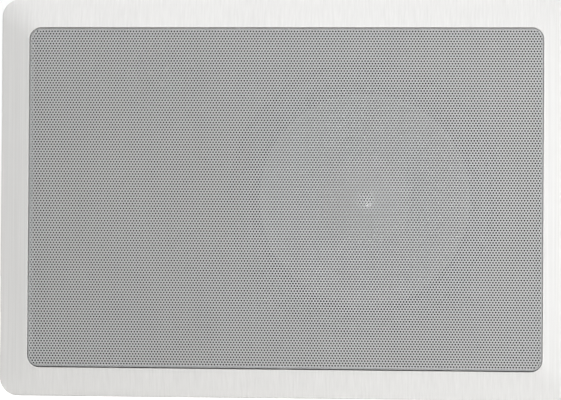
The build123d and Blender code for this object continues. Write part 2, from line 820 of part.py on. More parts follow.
# Wall clamps
for (side_x, side_z), corner in zip(clamp_corners, clamp_names):
    screw = pan_screw(
        side_x * clamp_x,
        side_z * clamp_z,
        baffle_front,
        clamp_screw_radius,
        clamp_screw_length,
        driven=True,
    )
    write(screw, f"clamp_screw_{corner}")
    with BuildPart() as dog:
        with BuildSketch(layer(dog_rest_depth, side_x * clamp_x, side_z * clamp_z)):
            Circle(dog_half)
            with Locations((-side_x * (dog_reach - dog_half) / 2, 0)):
                Rectangle(dog_reach - dog_half, dog_width)
            with Locations((-side_x * (dog_reach - dog_half), 0)):
                Circle(dog_half)
        extrude(amount=-dog_thickness)
        # the arm is stepped back on the room side, so that its tip bears on the wall first
        with BuildSketch(layer(dog_rest_depth, side_x * clamp_x, side_z * clamp_z)):
            with Locations((-side_x * (dog_reach / 2 - dog_half / 2), 0)):
                Rectangle(dog_step_length, dog_width)
        extrude(amount=-dog_step, mode=Mode.SUBTRACT)
        with BuildSketch(layer(dog_rest_depth, side_x * clamp_x, side_z * clamp_z)):
            Circle(clamp_screw_radius + clamp_thread_clearance)
        extrude(amount=-dog_thickness, mode=Mode.SUBTRACT)
    write(dog.part, f"clamp_dog_{corner}")
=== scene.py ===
import json
import math

import bpy
import numpy as np
from mathutils import Matrix, Vector
from mathutils.geometry import delaunay_2d_cdt


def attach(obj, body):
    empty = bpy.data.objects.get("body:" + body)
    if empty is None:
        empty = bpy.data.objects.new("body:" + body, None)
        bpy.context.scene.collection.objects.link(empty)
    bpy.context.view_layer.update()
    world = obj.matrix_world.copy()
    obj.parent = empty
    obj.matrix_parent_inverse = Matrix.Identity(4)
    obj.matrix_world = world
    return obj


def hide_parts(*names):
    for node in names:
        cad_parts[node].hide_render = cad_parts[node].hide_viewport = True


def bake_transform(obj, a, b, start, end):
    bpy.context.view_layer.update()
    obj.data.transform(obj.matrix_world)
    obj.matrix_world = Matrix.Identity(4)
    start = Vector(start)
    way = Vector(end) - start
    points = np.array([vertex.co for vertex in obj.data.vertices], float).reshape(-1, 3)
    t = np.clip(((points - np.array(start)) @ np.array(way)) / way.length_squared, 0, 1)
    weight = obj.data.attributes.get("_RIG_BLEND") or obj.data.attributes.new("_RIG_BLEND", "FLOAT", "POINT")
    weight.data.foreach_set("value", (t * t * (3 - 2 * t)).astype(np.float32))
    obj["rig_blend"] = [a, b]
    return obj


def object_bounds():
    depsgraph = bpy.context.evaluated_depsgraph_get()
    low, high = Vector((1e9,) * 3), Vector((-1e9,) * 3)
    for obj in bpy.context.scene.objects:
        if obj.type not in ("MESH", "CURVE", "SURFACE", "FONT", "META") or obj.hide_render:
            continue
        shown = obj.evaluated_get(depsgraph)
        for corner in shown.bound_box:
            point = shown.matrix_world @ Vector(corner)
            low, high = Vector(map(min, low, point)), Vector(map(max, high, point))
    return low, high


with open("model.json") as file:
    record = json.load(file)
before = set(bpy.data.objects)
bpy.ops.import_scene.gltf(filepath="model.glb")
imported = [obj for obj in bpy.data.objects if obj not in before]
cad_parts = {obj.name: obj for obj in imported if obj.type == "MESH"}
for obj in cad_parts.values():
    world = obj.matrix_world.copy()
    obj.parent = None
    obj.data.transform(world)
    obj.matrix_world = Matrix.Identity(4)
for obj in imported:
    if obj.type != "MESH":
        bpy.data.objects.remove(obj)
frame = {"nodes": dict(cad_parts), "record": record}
cadBox = [list(corner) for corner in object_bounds()]
nodes = frame["nodes"]
mm = 0.001
wooferCentre = (43.0, 0.0)  # x and z of its axis, mm
tweeterCentre = (-68.5, 66.8)
cornerSides = {"right_top": (1, 1), "left_top": (-1, 1), "left_bottom": (-1, -1), "right_bottom": (1, -1)}
scene = bpy.context.scene
scene.view_settings.view_transform = "Standard"
print("frame loaded,", len(nodes), "CAD nodes")


# shader maths: a socket with operators, and a tree that makes any node

class Signal:
    # one output socket, and each operator adds a Math node to its tree
    def __init__(self, nodeTree, socket):
        self.nodeTree = nodeTree
        self.socket = socket

    def maths(self, operation, first, second=0.0):
        return self.nodeTree.node("ShaderNodeMath", {"operation": operation}, {0: first, 1: second})

    def sine(self):
        return self.maths("SINE", self)

    def atLeast(self, other):
        return self.maths("MAXIMUM", self, other)

    def atMost(self, other):
        return self.maths("MINIMUM", self, other)

    def clamped(self):
        return self.atLeast(0.0).atMost(1.0)

    def __abs__(self):
        return self.maths("ABSOLUTE", self)

    def __add__(self, other):
        return self.maths("ADD", self, other)

    def __radd__(self, other):
        return self.maths("ADD", other, self)

    def __sub__(self, other):
        return self.maths("SUBTRACT", self, other)

    def __rsub__(self, other):
        return self.maths("SUBTRACT", other, self)

    def __mul__(self, other):
        return self.maths("MULTIPLY", self, other)

    def __rmul__(self, other):
        return self.maths("MULTIPLY", other, self)

    def __truediv__(self, other):
        return self.maths("DIVIDE", self, other)

    def __rtruediv__(self, other):
        return self.maths("DIVIDE", other, self)

    def __lt__(self, other):
        return self.maths("LESS_THAN", self, other)

    def __gt__(self, other):
        return self.maths("GREATER_THAN", self, other)


class NodeTree:
    def __init__(self, owner):
        owner.use_nodes = True
        self.tree = owner.node_tree

    # any node: its type, its settings (set first), its inputs by name or number, and the output wanted
    def node(self, kind, settings=None, inputs=None, output=0):
        made = self.tree.nodes.new(kind)
        for key, value in (settings or {}).items():
            setattr(made, key, value)
        for key, value in (inputs or {}).items():
            self.feed(made.inputs[key], value)
        return Signal(self, made.outputs[output])

    def feed(self, socket, value):
        if isinstance(value, Signal):
            self.tree.links.new(value.socket, socket)
        else:
            socket.default_value = value

    # 1 for what is seen straight, in a mirror or through glass, and 0 for light on its way to a surface
    def seen(self):
        kinds = ("Is Camera Ray", "Is Glossy Ray", "Is Transmission Ray")
        straight, mirrored, through = (self.node("ShaderNodeLightPath", output=kind) for kind in kinds)
        return straight.atLeast(mirrored).atLeast(through)


class Finish(NodeTree):
    def __init__(self, name):
        self.material = bpy.data.materials.new(name)
        super().__init__(self.material)
        self.shader = self.tree.nodes["Principled BSDF"]
        self.place = self.node("ShaderNodeTexCoord", output="Object")

    # values of the shader itself, by socket name
    def put(self, **values):
        for key, value in values.items():
            self.feed(self.shader.inputs[key.replace("_", " ")], value)


def rgba(colour):
    return (*colour, 1.0)


def stretched(finish, scale):
    return finish.node("ShaderNodeMapping", None, {"Vector": finish.place, "Scale": scale})


def grain(finish, scale, detail=2.0, rough=0.5, at=None):
    inputs = {"Vector": at or finish.place, "Scale": scale, "Detail": detail, "Roughness": rough}
    return finish.node("ShaderNodeTexNoise", {"noise_dimensions": "3D"}, inputs, "Fac")


def mixColour(finish, low, high, factor):
    return finish.node("ShaderNodeMix", {"data_type": "RGBA"}, {0: factor, 6: low, 7: high}, 2)


def between(finish, tones, factor):
    return mixColour(finish, rgba(tones[0]), rgba(tones[1]), factor)


bevelSamples = 4


# a height becomes a normal, as deep as given in metres, over rounded edges where a radius is given
def relief(finish, height, depth, strength, edge=0.0):
    inputs = {"Strength": strength, "Distance": depth, "Height": height}
    if edge:
        inputs["Normal"] = finish.node("ShaderNodeBevel", {"samples": bevelSamples}, {"Radius": edge})
    return finish.node("ShaderNodeBump", None, inputs)


# distance in metres from an axis along Y, whose x and z are in millimetres
def radiusFrom(finish, centre):
    axis = (centre[0] * mm, 0, centre[1] * mm)
    moved = finish.node("ShaderNodeVectorMath", {"operation": "SUBTRACT"}, {0: finish.place, 1: axis})
    flat = finish.node("ShaderNodeVectorMath", {"operation": "MULTIPLY"}, {0: moved, 1: (1, 0, 1)})
    return finish.node("ShaderNodeVectorMath", {"operation": "LENGTH"}, {0: flat}, "Value")


# lines that repeat at a pitch: sin(2 pi distance / pitch + wobble)
def lines(distance, pitch, wobble=0.0):
    return (distance * (2 * math.pi / pitch) + wobble).sine()


def axes(finish, names="XYZ"):
    return [finish.node("ShaderNodeSeparateXYZ", None, {0: finish.place}, axis) for axis in names]


# finishes: tones are the two colours that noise or a pattern mixes, lengths are in metres

whiteLook = {
    "tones": ((0.776, 0.774, 0.770), (0.852, 0.850, 0.846)),
    "rough": 0.44,
    "roughSpread": 0.12,
    "streaks": {"scale": 1.0, "detail": 3.0, "rough": 0.6},
    "streakStretch": (1000, 300, 9),
    "streakTone": 2.3,
    "streakHeight": 0.4,
    "cloud": {"scale": 14.0, "detail": 3.0},
    "cloudTone": 0.3,
    "skin": {"scale": 2600.0, "detail": 2.0, "rough": 0.6},
    "relief": {"depth": 0.00002, "strength": 0.5},
    "brushedTo": 0.0015,  # y up to which the face is brushed
    "baffleDark": (0.022, 0.022, 0.023),
    "baffleLevel": 0.0047,  # y of the dark front, from here to the next
    "baffleBack": 0.0055,
    "baffleHalf": (0.1385, 0.0915),
}


def whiteMoulding(look):
    finish = Finish("frameWhite")
    streaks = grain(finish, at=stretched(finish, look["streakStretch"]), **look["streaks"])
    cloud = grain(finish, **look["cloud"])
    skin = grain(finish, **look["skin"])
    x, y, z = axes(finish)
    # brush marks run up the visible face only
    brushed = streaks * (y < look["brushedTo"]) + 0.5 * (y > look["brushedTo"])
    tone = (brushed - 0.5) * look["streakTone"] + (cloud - 0.5) * look["cloudTone"] + 0.5
    # the recessed baffle's front is sprayed dark, so that it does not shine through the grille
    halfX, halfZ = look["baffleHalf"]
    sprayed = (y > look["baffleLevel"]) * (y < look["baffleBack"])
    sprayed = sprayed * (abs(x) < halfX) * (abs(z) < halfZ)
    white = between(finish, look["tones"], tone)
    finish.put(
        Base_Color=mixColour(finish, white, rgba(look["baffleDark"]), sprayed),
        Roughness=look["rough"] + (skin - 0.5) * look["roughSpread"],
        Normal=relief(finish, skin + brushed * look["streakHeight"], **look["relief"]),
    )
    return finish


grillePaintLook = {
    "tones": ((0.536, 0.545, 0.553), (0.562, 0.571, 0.577)),
    "rough": 0.5,
    "roughSpread": 0.16,
    "cloud": {"scale": 30.0, "detail": 3.0},
    "peel": {"scale": 1900.0, "detail": 2.0, "rough": 0.55},
    "relief": {"depth": 0.00003, "strength": 0.5},
}


def grillePaint(look):
    finish = Finish("grillePaint")
    peel = grain(finish, **look["peel"])
    finish.put(
        Base_Color=between(finish, look["tones"], grain(finish, **look["cloud"])),
        Roughness=look["rough"] + (peel - 0.5) * look["roughSpread"],
        Normal=relief(finish, peel, **look["relief"]),
    )
    return finish


# painted and moulded finishes: scale and depth of the grain, and radius of the edges
coatedLooks = {
    "basketPaint": {
        "tones": ((0.020, 0.020, 0.021), (0.030, 0.030, 0.032)),
        "rough": 0.42, "scale": 1500, "depth": 0.00003, "edge": 0.0004,
    },
    "gasketFoam": {
        "tones": ((0.018, 0.018, 0.018), (0.034, 0.034, 0.034)),
        "rough": 0.9, "scale": 2600, "depth": 0.0001, "edge": 0.0,
    },
    "surroundRubber": {
        "tones": ((0.020, 0.020, 0.021), (0.030, 0.030, 0.031)),
        "rough": 0.58, "scale": 1800, "depth": 0.00002, "edge": 0.0,
    },
    "blackPlastic": {
        "tones": ((0.020, 0.020, 0.021), (0.032, 0.032, 0.033)),
        "rough": 0.5, "scale": 2400, "depth": 0.00002, "edge": 0.0003,
    },
    "dogPlastic": {
        "tones": ((0.026, 0.026, 0.028), (0.044, 0.044, 0.046)),
        "rough": 0.55, "scale": 1700, "depth": 0.00004, "edge": 0.0004,
    },
    "leverRed": {
        "tones": ((0.50, 0.020, 0.016), (0.58, 0.032, 0.022)),
        "rough": 0.34, "scale": 1600, "depth": 0.00001, "edge": 0.0003,
    },
    "leverBlack": {
        "tones": ((0.014, 0.014, 0.014), (0.024, 0.024, 0.024)),
        "rough": 0.34, "scale": 1600, "depth": 0.00001, "edge": 0.0003,
    },
    "resistorCement": {
        "tones": ((0.62, 0.60, 0.54), (0.76, 0.74, 0.68)),
        "rough": 0.85, "scale": 1500, "depth": 0.00008, "edge": 0.0004,
    },
    "capacitorSleeve": {
        "tones": ((0.018, 0.030, 0.10), (0.026, 0.042, 0.13)),
        "rough": 0.30, "scale": 500, "depth": 0.000004, "edge": 0.0005,
    },
    "capacitorFilm": {
        "tones": ((0.62, 0.47, 0.07), (0.72, 0.57, 0.10)),
        "rough": 0.32, "scale": 500, "depth": 0.000006, "edge": 0.0004,
    },
    "domeSilk": {
        "tones": ((0.030, 0.030, 0.033), (0.046, 0.046, 0.050)),
        "rough": 0.62, "scale": 3200, "depth": 0.00004, "edge": 0.0,
    },
    "blackScrew": {
        "tones": ((0.020, 0.020, 0.020), (0.040, 0.040, 0.040)),
        "rough": 0.36, "scale": 900, "depth": 0.00002, "edge": 0.0002,
    },
    "ferrite": {
        "tones": ((0.030, 0.030, 0.033), (0.070, 0.070, 0.074)),
        "rough": 0.62, "scale": 1300, "depth": 0.00006, "edge": 0.0006,
    },
}
coatedGrain = {"detail": 3.0, "rough": 0.6, "cloudShare": 0.04, "roughSpread": 0.15, "strength": 0.6}


def coated(name, look):
    finish = Finish(name)
    cloud = grain(finish, look["scale"] * coatedGrain["cloudShare"], coatedGrain["detail"])
    skin = grain(finish, look["scale"], coatedGrain["detail"], coatedGrain["rough"])
    finish.put(
        Base_Color=between(finish, look["tones"], cloud),
        Roughness=look["rough"] + (skin - 0.5) * coatedGrain["roughSpread"],
        Normal=relief(finish, skin, look["depth"], coatedGrain["strength"], look["edge"]),
    )
    return finish


guardLook = {
    "satin": {
        "tones": ((0.020, 0.020, 0.021), (0.032, 0.032, 0.033)),
        "rough": 0.6, "scale": 2400, "depth": 0.000004, "edge": 0.0003,
    },
    "glossFrom": 0.0036,  # radii of the legs
    "glossTo": 0.0072,
    "glossFade": 0.0006,
    "glossRough": 0.28,
    "index": 2.0,
}


# the tweeter's guard: satin, with a glossy coat on its three legs between two radii
def guardGloss(look):
    finish = coated("guardPlastic", look["satin"])
    radius = radiusFrom(finish, tweeterCentre)
    rise = ((radius - look["glossFrom"]) / look["glossFade"]).clamped()
    fall = ((look["glossTo"] - radius) / look["glossFade"]).clamped()
    finish.put(Coat_Weight=rise * fall, Coat_Roughness=look["glossRough"], Coat_IOR=look["index"])
    return finish


turnedLooks = {
    "platedSteel": {
        "tones": ((0.56, 0.53, 0.44), (0.70, 0.68, 0.62)),
        "rough": 0.3, "centre": wooferCentre,
    },
    "tweeterSteel": {
        "tones": ((0.58, 0.57, 0.54), (0.70, 0.69, 0.66)),
        "rough": 0.28, "centre": tweeterCentre,
    },
    "magnetNickel": {
        "tones": ((0.66, 0.65, 0.62), (0.74, 0.73, 0.70)),
        "rough": 0.16, "centre": tweeterCentre,
    },
    "formerFoil": {
        "tones": ((0.72, 0.72, 0.73), (0.82, 0.82, 0.83)),
        "rough": 0.3, "centre": wooferCentre,
    },
}
turnedGrain = {
    "pitch": 0.0011,
    "wobble": {"scale": 160.0, "detail": 2.0},
    "wobbleTurn": 3.0,
    "cloud": {"scale": 55.0, "detail": 4.0, "rough": 0.6},
    "cloudRough": 0.2,
    "ringRough": 0.03,
    "relief": {"depth": 0.000012, "strength": 0.5, "edge": 0.0003},
}


# turned metal: fine rings about the axis, and a slow change of tint
def turnedMetal(name, look):
    finish = Finish(name)
    wobble = grain(finish, **turnedGrain["wobble"]) * turnedGrain["wobbleTurn"]
    rings = lines(radiusFrom(finish, look["centre"]), turnedGrain["pitch"], wobble)
    cloud = grain(finish, **turnedGrain["cloud"])
    uneven = (cloud - 0.5) * turnedGrain["cloudRough"]
    finish.put(
        Base_Color=between(finish, look["tones"], cloud),
        Metallic=1.0,
        Roughness=look["rough"] + uneven + rings * turnedGrain["ringRough"],
        Normal=relief(finish, rings, **turnedGrain["relief"]),
    )
    return finish


platedLooks = {
    "zincScrew": {"tones": ((0.60, 0.61, 0.63), (0.74, 0.74, 0.75)), "rough": 0.26},
    "tinnedWire": {"tones": ((0.64, 0.64, 0.65), (0.78, 0.78, 0.79)), "rough": 0.22},
    "canAluminium": {"tones": ((0.70, 0.70, 0.71), (0.80, 0.80, 0.81)), "rough": 0.34},
    "copperEnamel": {"tones": ((0.48, 0.17, 0.065), (0.66, 0.28, 0.11)), "rough": 0.24},
}
platedGrain = {
    "cloud": {"scale": 220.0, "detail": 3.0, "rough": 0.6},
    "cloudRough": 0.14,
    "scratches": {"scale": 1.0, "detail": 3.0, "rough": 0.6},
    "scratchStretch": (900, 5200, 2600),
    "scratchRough": 0.1,
    "relief": {"depth": 0.000004, "strength": 0.6},
}


# drawn or plated metal: a slow change of tint and fine scratches
def platedMetal(name, look):
    finish = Finish(name)
    cloud = grain(finish, **platedGrain["cloud"])
    scratches = grain(finish, at=stretched(finish, platedGrain["scratchStretch"]), **platedGrain["scratches"])
    uneven = (cloud - 0.5) * platedGrain["cloudRough"]
    finish.put(
        Base_Color=between(finish, look["tones"], cloud),
        Metallic=1.0,
        Roughness=look["rough"] + uneven + (scratches - 0.5) * platedGrain["scratchRough"],
        Normal=relief(finish, scratches, **platedGrain["relief"]),
    )
    return finish


polyLooks = {
    "conePoly": {
        "tones": ((0.126, 0.128, 0.130), (0.162, 0.165, 0.168)),
        "rough": 0.5,
        "ringPitch": 0.0016,
    },
    "capPoly": {
        "tones": ((0.046, 0.047, 0.048), (0.062, 0.063, 0.064)),
        "rough": 0.55,
        "ringPitch": 0.004,
        "polished": 0.0060,
        "polishedFade": 0.0018,
        # painted sheen: a lighter tone for the polished centre
        "polishedColour": (0.088, 0.089, 0.091),
        "polishedRough": 0.19,
        "shine": 1.0,
        "index": 2.0,
    },
}
polyGrain = {
    "wobble": {"scale": 90.0, "detail": 2.0},
    "wobbleTurn": 2.0,
    "specks": {"scale": 2400.0, "detail": 2.0, "rough": 0.7},
    "speckTone": 0.4,
    "cloud": {"scale": 40.0, "detail": 3.0},
    "cloudTone": 0.6,
    "roughSpread": 0.2,
    "ringHeight": 0.5,
    "relief": {"depth": 0.00003, "strength": 0.4},
}


# moulded cone and cap: faint rings of flow and mineral specks, smooth within the polished radius if any, where
# the colour is also lifted as painted sheen
def polyMoulding(name, look):
    finish = Finish(name)
    radius = radiusFrom(finish, wooferCentre)
    rings = lines(radius, look["ringPitch"], grain(finish, **polyGrain["wobble"]) * polyGrain["wobbleTurn"])
    specks = grain(finish, **polyGrain["specks"])
    cloud = grain(finish, **polyGrain["cloud"])
    tone = between(finish, look["tones"], cloud * polyGrain["cloudTone"] + specks * polyGrain["speckTone"])
    rough = look["rough"] + (specks - 0.5) * polyGrain["roughSpread"]
    height = rings * polyGrain["ringHeight"] + specks
    if "polished" in look:
        polished = ((look["polished"] - radius) / look["polishedFade"]).clamped()
        # painted sheen: the polished centre is painted a lighter tone, standing in for the haze of reflection
        # that the rougher cap shows
        tone = mixColour(finish, tone, rgba(look["polishedColour"]), polished)
        rough = look["rough"] - polished * (look["rough"] - look["polishedRough"])
        height = height * (1 - polished)
        finish.put(Specular_IOR_Level=look["shine"], IOR=look["index"])
    finish.put(Base_Color=tone, Roughness=rough, Normal=relief(finish, height, **polyGrain["relief"]))
    return finish


spiderLook = {
    "tones": ((0.42, 0.29, 0.10), (0.62, 0.47, 0.20)),
    "thread": 0.0007,
    "weaveTone": 0.25,
    "cloud": {"scale": 120.0, "detail": 3.0},
    "cloudTone": 0.6,
    "plainTone": 0.2,
    "rough": 0.75,
    "weaveRough": 0.1,
    "relief": {"depth": 0.00012, "strength": 0.7},
}


# open weave pressed in resin: threads along X and Z that pass over and under each other
def spiderCloth(look):
    finish = Finish("spiderCloth")
    x, z = axes(finish, "XZ")
    weave = lines(x, look["thread"]) * lines(z, look["thread"])
    cloud = grain(finish, **look["cloud"])
    tone = weave * look["weaveTone"] + cloud * look["cloudTone"] + look["plainTone"]
    finish.put(
        Base_Color=between(finish, look["tones"], tone),
        Roughness=look["rough"] + weave * look["weaveRough"],
        Normal=relief(finish, weave, **look["relief"]),
    )
    return finish


copperLook = {
    "tones": ((0.42, 0.16, 0.06), (0.62, 0.27, 0.11)),
    "wire": 0.0004,
    "ridgeTone": 0.2,
    "cloud": {"scale": 300.0, "detail": 3.0},
    "cloudTone": 0.6,
    "plainTone": 0.2,
    "rough": 0.3,
    "roughSpread": 0.15,
    "relief": {"depth": 0.0001, "strength": 0.8},
}


# enamelled wire: lines round the winding, one for each turn along Y
def copperWire(look):
    finish = Finish("copperFine")
    ridge = lines(axes(finish, "Y")[0], look["wire"])
    cloud = grain(finish, **look["cloud"])
    tone = cloud * look["cloudTone"] + ridge * look["ridgeTone"] + look["plainTone"]
    finish.put(
        Base_Color=between(finish, look["tones"], tone),
        Metallic=1.0,
        Roughness=look["rough"] + (cloud - 0.5) * look["roughSpread"],
        Normal=relief(finish, ridge, **look["relief"]),
    )
    return finish


boardLook = {
    "tones": ((0.010, 0.085, 0.026), (0.020, 0.150, 0.045)),
    "cloud": {"scale": 600.0, "detail": 2.0},
    "cloudTone": 0.5,
    "rough": 0.32,
    "roughSpread": 0.1,
    "relief": {"depth": 0.00002, "strength": 0.4},
}


def boardLaminate(look):
    finish = Finish("boardLaminate")
    cloud = grain(finish, **look["cloud"])
    finish.put(
        Base_Color=between(finish, look["tones"], cloud * look["cloudTone"]),
        Roughness=look["rough"] + cloud * look["roughSpread"],
        Normal=relief(finish, cloud, **look["relief"]),
    )
    return finish


finishes = {
    "frameWhite": whiteMoulding(whiteLook),
    "grillePaint": grillePaint(grillePaintLook),
    "guardPlastic": guardGloss(guardLook),
    "spiderCloth": spiderCloth(spiderLook),
    "copperFine": copperWire(copperLook),
    "boardLaminate": boardLaminate(boardLook),
}
for maker, looks in (
    (coated, coatedLooks),
    (turnedMetal, turnedLooks),
    (platedMetal, platedLooks),
    (polyMoulding, polyLooks),
):
    for name, look in looks.items():
        finishes[name] = maker(name, look)

# a finish is named as its slot is, in camelCase, but for these slots and nodes
slotFinish = {"copper": "copperFine", "neodymium": "magnetNickel"}
nodeFinish = {
    "tweeter_cup": "tweeterSteel",
    "tweeter_pole_plate": "tweeterSteel",
    "tweeter_faceplate": "guardPlastic",
}
for subpart in frame["record"]["subparts"]:
    slot = subpart["material_slot"]
    start, *others = slot.split("_")
    named = start + "".join(word.title() for word in others)
    finish = finishes[nodeFinish.get(subpart["node"], slotFinish.get(slot, named))]
    slots = nodes[subpart["node"]].data.materials
    slots.clear()
    slots.append(finish.material)
print("finishes on", len(nodes), "CAD nodes")


# meshes from arrays, with lengths in millimetres

hardEdge = 38  # degrees past which an edge stays sharp
softEdge = 60


# points (n, 3) and face groups (m, 3) or (m, 4)
def layMesh(name, points, faceGroups, sharpAngle=hardEdge):
    sizes = np.concatenate([np.full(len(group), group.shape[1]) for group in faceGroups])
    corners = np.concatenate([group.ravel() for group in faceGroups])
    starts = np.cumsum(sizes) - sizes
    mesh = bpy.data.meshes.new(name)
    mesh.vertices.add(len(points))
    mesh.vertices.foreach_set("co", (points * mm).astype(np.float32).ravel())
    mesh.loops.add(len(corners))
    mesh.loops.foreach_set("vertex_index", corners.astype(np.int32))
    mesh.polygons.add(len(sizes))
    mesh.polygons.foreach_set("loop_start", starts.astype(np.int32))
    mesh.update(calc_edges=True)
    mesh.shade_smooth()
    mesh.set_sharp_from_angle(angle=math.radians(sharpAngle))
    return mesh


def placePiece(mesh, finish):
    piece = bpy.data.objects.new(mesh.name, mesh)
    scene.collection.objects.link(piece)
    mesh.materials.append(finish.material)
    return piece


def addPiece(mesh, body, slot, finish, *replaced):
    piece = placePiece(mesh, finishes[finish])
    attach(piece, body)
    if replaced:
        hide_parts(*replaced)
    return piece


# angles evenly round a circle
def circle(count):
    return 2 * np.pi * np.arange(count) / count


# point numbers of a grid whose last column joins its first
def ringGrid(rows, around, first=0):
    index = first + np.arange(rows * around).reshape(rows, around)
    return np.hstack([index, index[:, :1]])


def quadsOf(index):
    return np.stack([index[:-1, :-1], index[:-1, 1:], index[1:, 1:], index[1:, :-1]], axis=-1).reshape(-1, 4)


# the points that faces use, and the faces numbered by them alone
def packFaces(faceGroups, total):
    used = np.unique(np.concatenate([group.ravel() for group in faceGroups]))
    fresh = np.full(total, -1)
    fresh[used] = np.arange(len(used))
    return used, [fresh[group] for group in faceGroups]


# perforated grille: a pan of thin sheet with staggered six-sided holes, in four quarters

grilleSpec = {
    "width": 278.4,
    "height": 183.9,
    "corner": 6.0,
    "seat": (0.05, 0.14),  # shift of the whole pan in x and z
    "front": -6.1,
    "depth": 10.4,
    "sheet": 0.7,
    "bend": 1.05,  # half axes of the bend, outward and back
    "bendDepth": 1.5,
    "bendSteps": 24,
    "pitch": 1.592,
    "rowStep": 1.334,
    "columns": 177,
    "rows": 140,
    "shift": -0.4,  # of the holes along x
    "holeRadius": 0.535,
    "holesPast": 2.2,  # how far past the start of the bend hole centres lie, along the sheet
    "plainPast": 3.0,  # and the outline beyond the last holes
    "outlineStep": 1.6,
    "cornerSteps": 10,
}


# rounded rectangle: points (x, z) and outward normals, anticlockwise from the lower right corner's start
def roundedOutline(halfWidth, halfHeight, radius, step, cornerSteps):
    points = []
    normals = []
    centres = [(1, -1), (1, 1), (-1, 1), (-1, -1)]
    for turn, (sideX, sideZ) in enumerate(centres):
        angles = np.radians(90 * turn - 90 + np.linspace(0, 90, cornerSteps + 1))
        ring = np.stack([np.cos(angles), np.sin(angles)], axis=1)
        arc = ring * radius + [sideX * (halfWidth - radius), sideZ * (halfHeight - radius)]
        length = 2 * ((halfHeight if turn % 2 == 0 else halfWidth) - radius)
        count = int(length / step)
        share = np.linspace(0, 1, count + 1)[1:-1, None]
        along = np.array([-ring[-1][1], ring[-1][0]])
        points += [arc, arc[-1] + share * length * along]
        normals += [ring, np.repeat(ring[-1:], count - 1, axis=0)]
    return np.concatenate(points), np.concatenate(normals)


# directed edges of some face groups that have no partner running the other way
def openEdges(faceGroups, total):
    edges = np.concatenate(
        [np.stack([group, np.roll(group, -1, axis=1)], axis=-1).reshape(-1, 2) for group in faceGroups]
    )
    codes = edges[:, 0].astype(np.int64) * total + edges[:, 1]
    partners = edges[:, 1].astype(np.int64) * total + edges[:, 0]
    return edges[~np.isin(codes, partners)]


# signed distance of flat points past the line where the bend begins, and the way outward
def pastBend(flat, half, radius):
    over = np.maximum(np.abs(flat) - (half - radius), 0) * np.sign(flat)
    length = np.hypot(over[:, 0], over[:, 1])
    return length - radius, over / np.maximum(length, 1e-9)[:, None]


# the bend, a quarter ellipse: arc length, a sin t outward, b (1 - cos t) back, and the turn of the sheet
def bendSection(spec):
    theta = np.radians(np.linspace(0, 90, spec["bendSteps"] + 1))
    out = spec["bend"] * np.sin(theta)
    drop = spec["bendDepth"] * (1 - np.cos(theta))
    along = np.append(0, np.cumsum(np.hypot(np.diff(out), np.diff(drop))))
    turn = np.arctan2(spec["bendDepth"] * np.sin(theta), spec["bend"] * np.cos(theta))
    return along, out, drop, turn


# folds a flat blank: its arc length past the line is laid along the bend, and what is over goes straight back
def foldBlank(flat, half, radius, spec):
    along, out, drop, turn = bendSection(spec)
    past, outward = pastBend(flat, half, radius)
    past = np.maximum(past, 0)
    ground = flat + (np.interp(past, along, out) - past)[:, None] * outward
    depth = np.interp(past, along, drop) + np.maximum(past - along[-1], 0)
    lean = np.interp(past, along, turn)
    tilt = np.sin(lean)[:, None] * outward
    points = np.stack([ground[:, 0], spec["front"] + depth, ground[:, 1]], axis=1)
    return points, np.stack([tilt[:, 0], -np.cos(lean), tilt[:, 1]], axis=1)


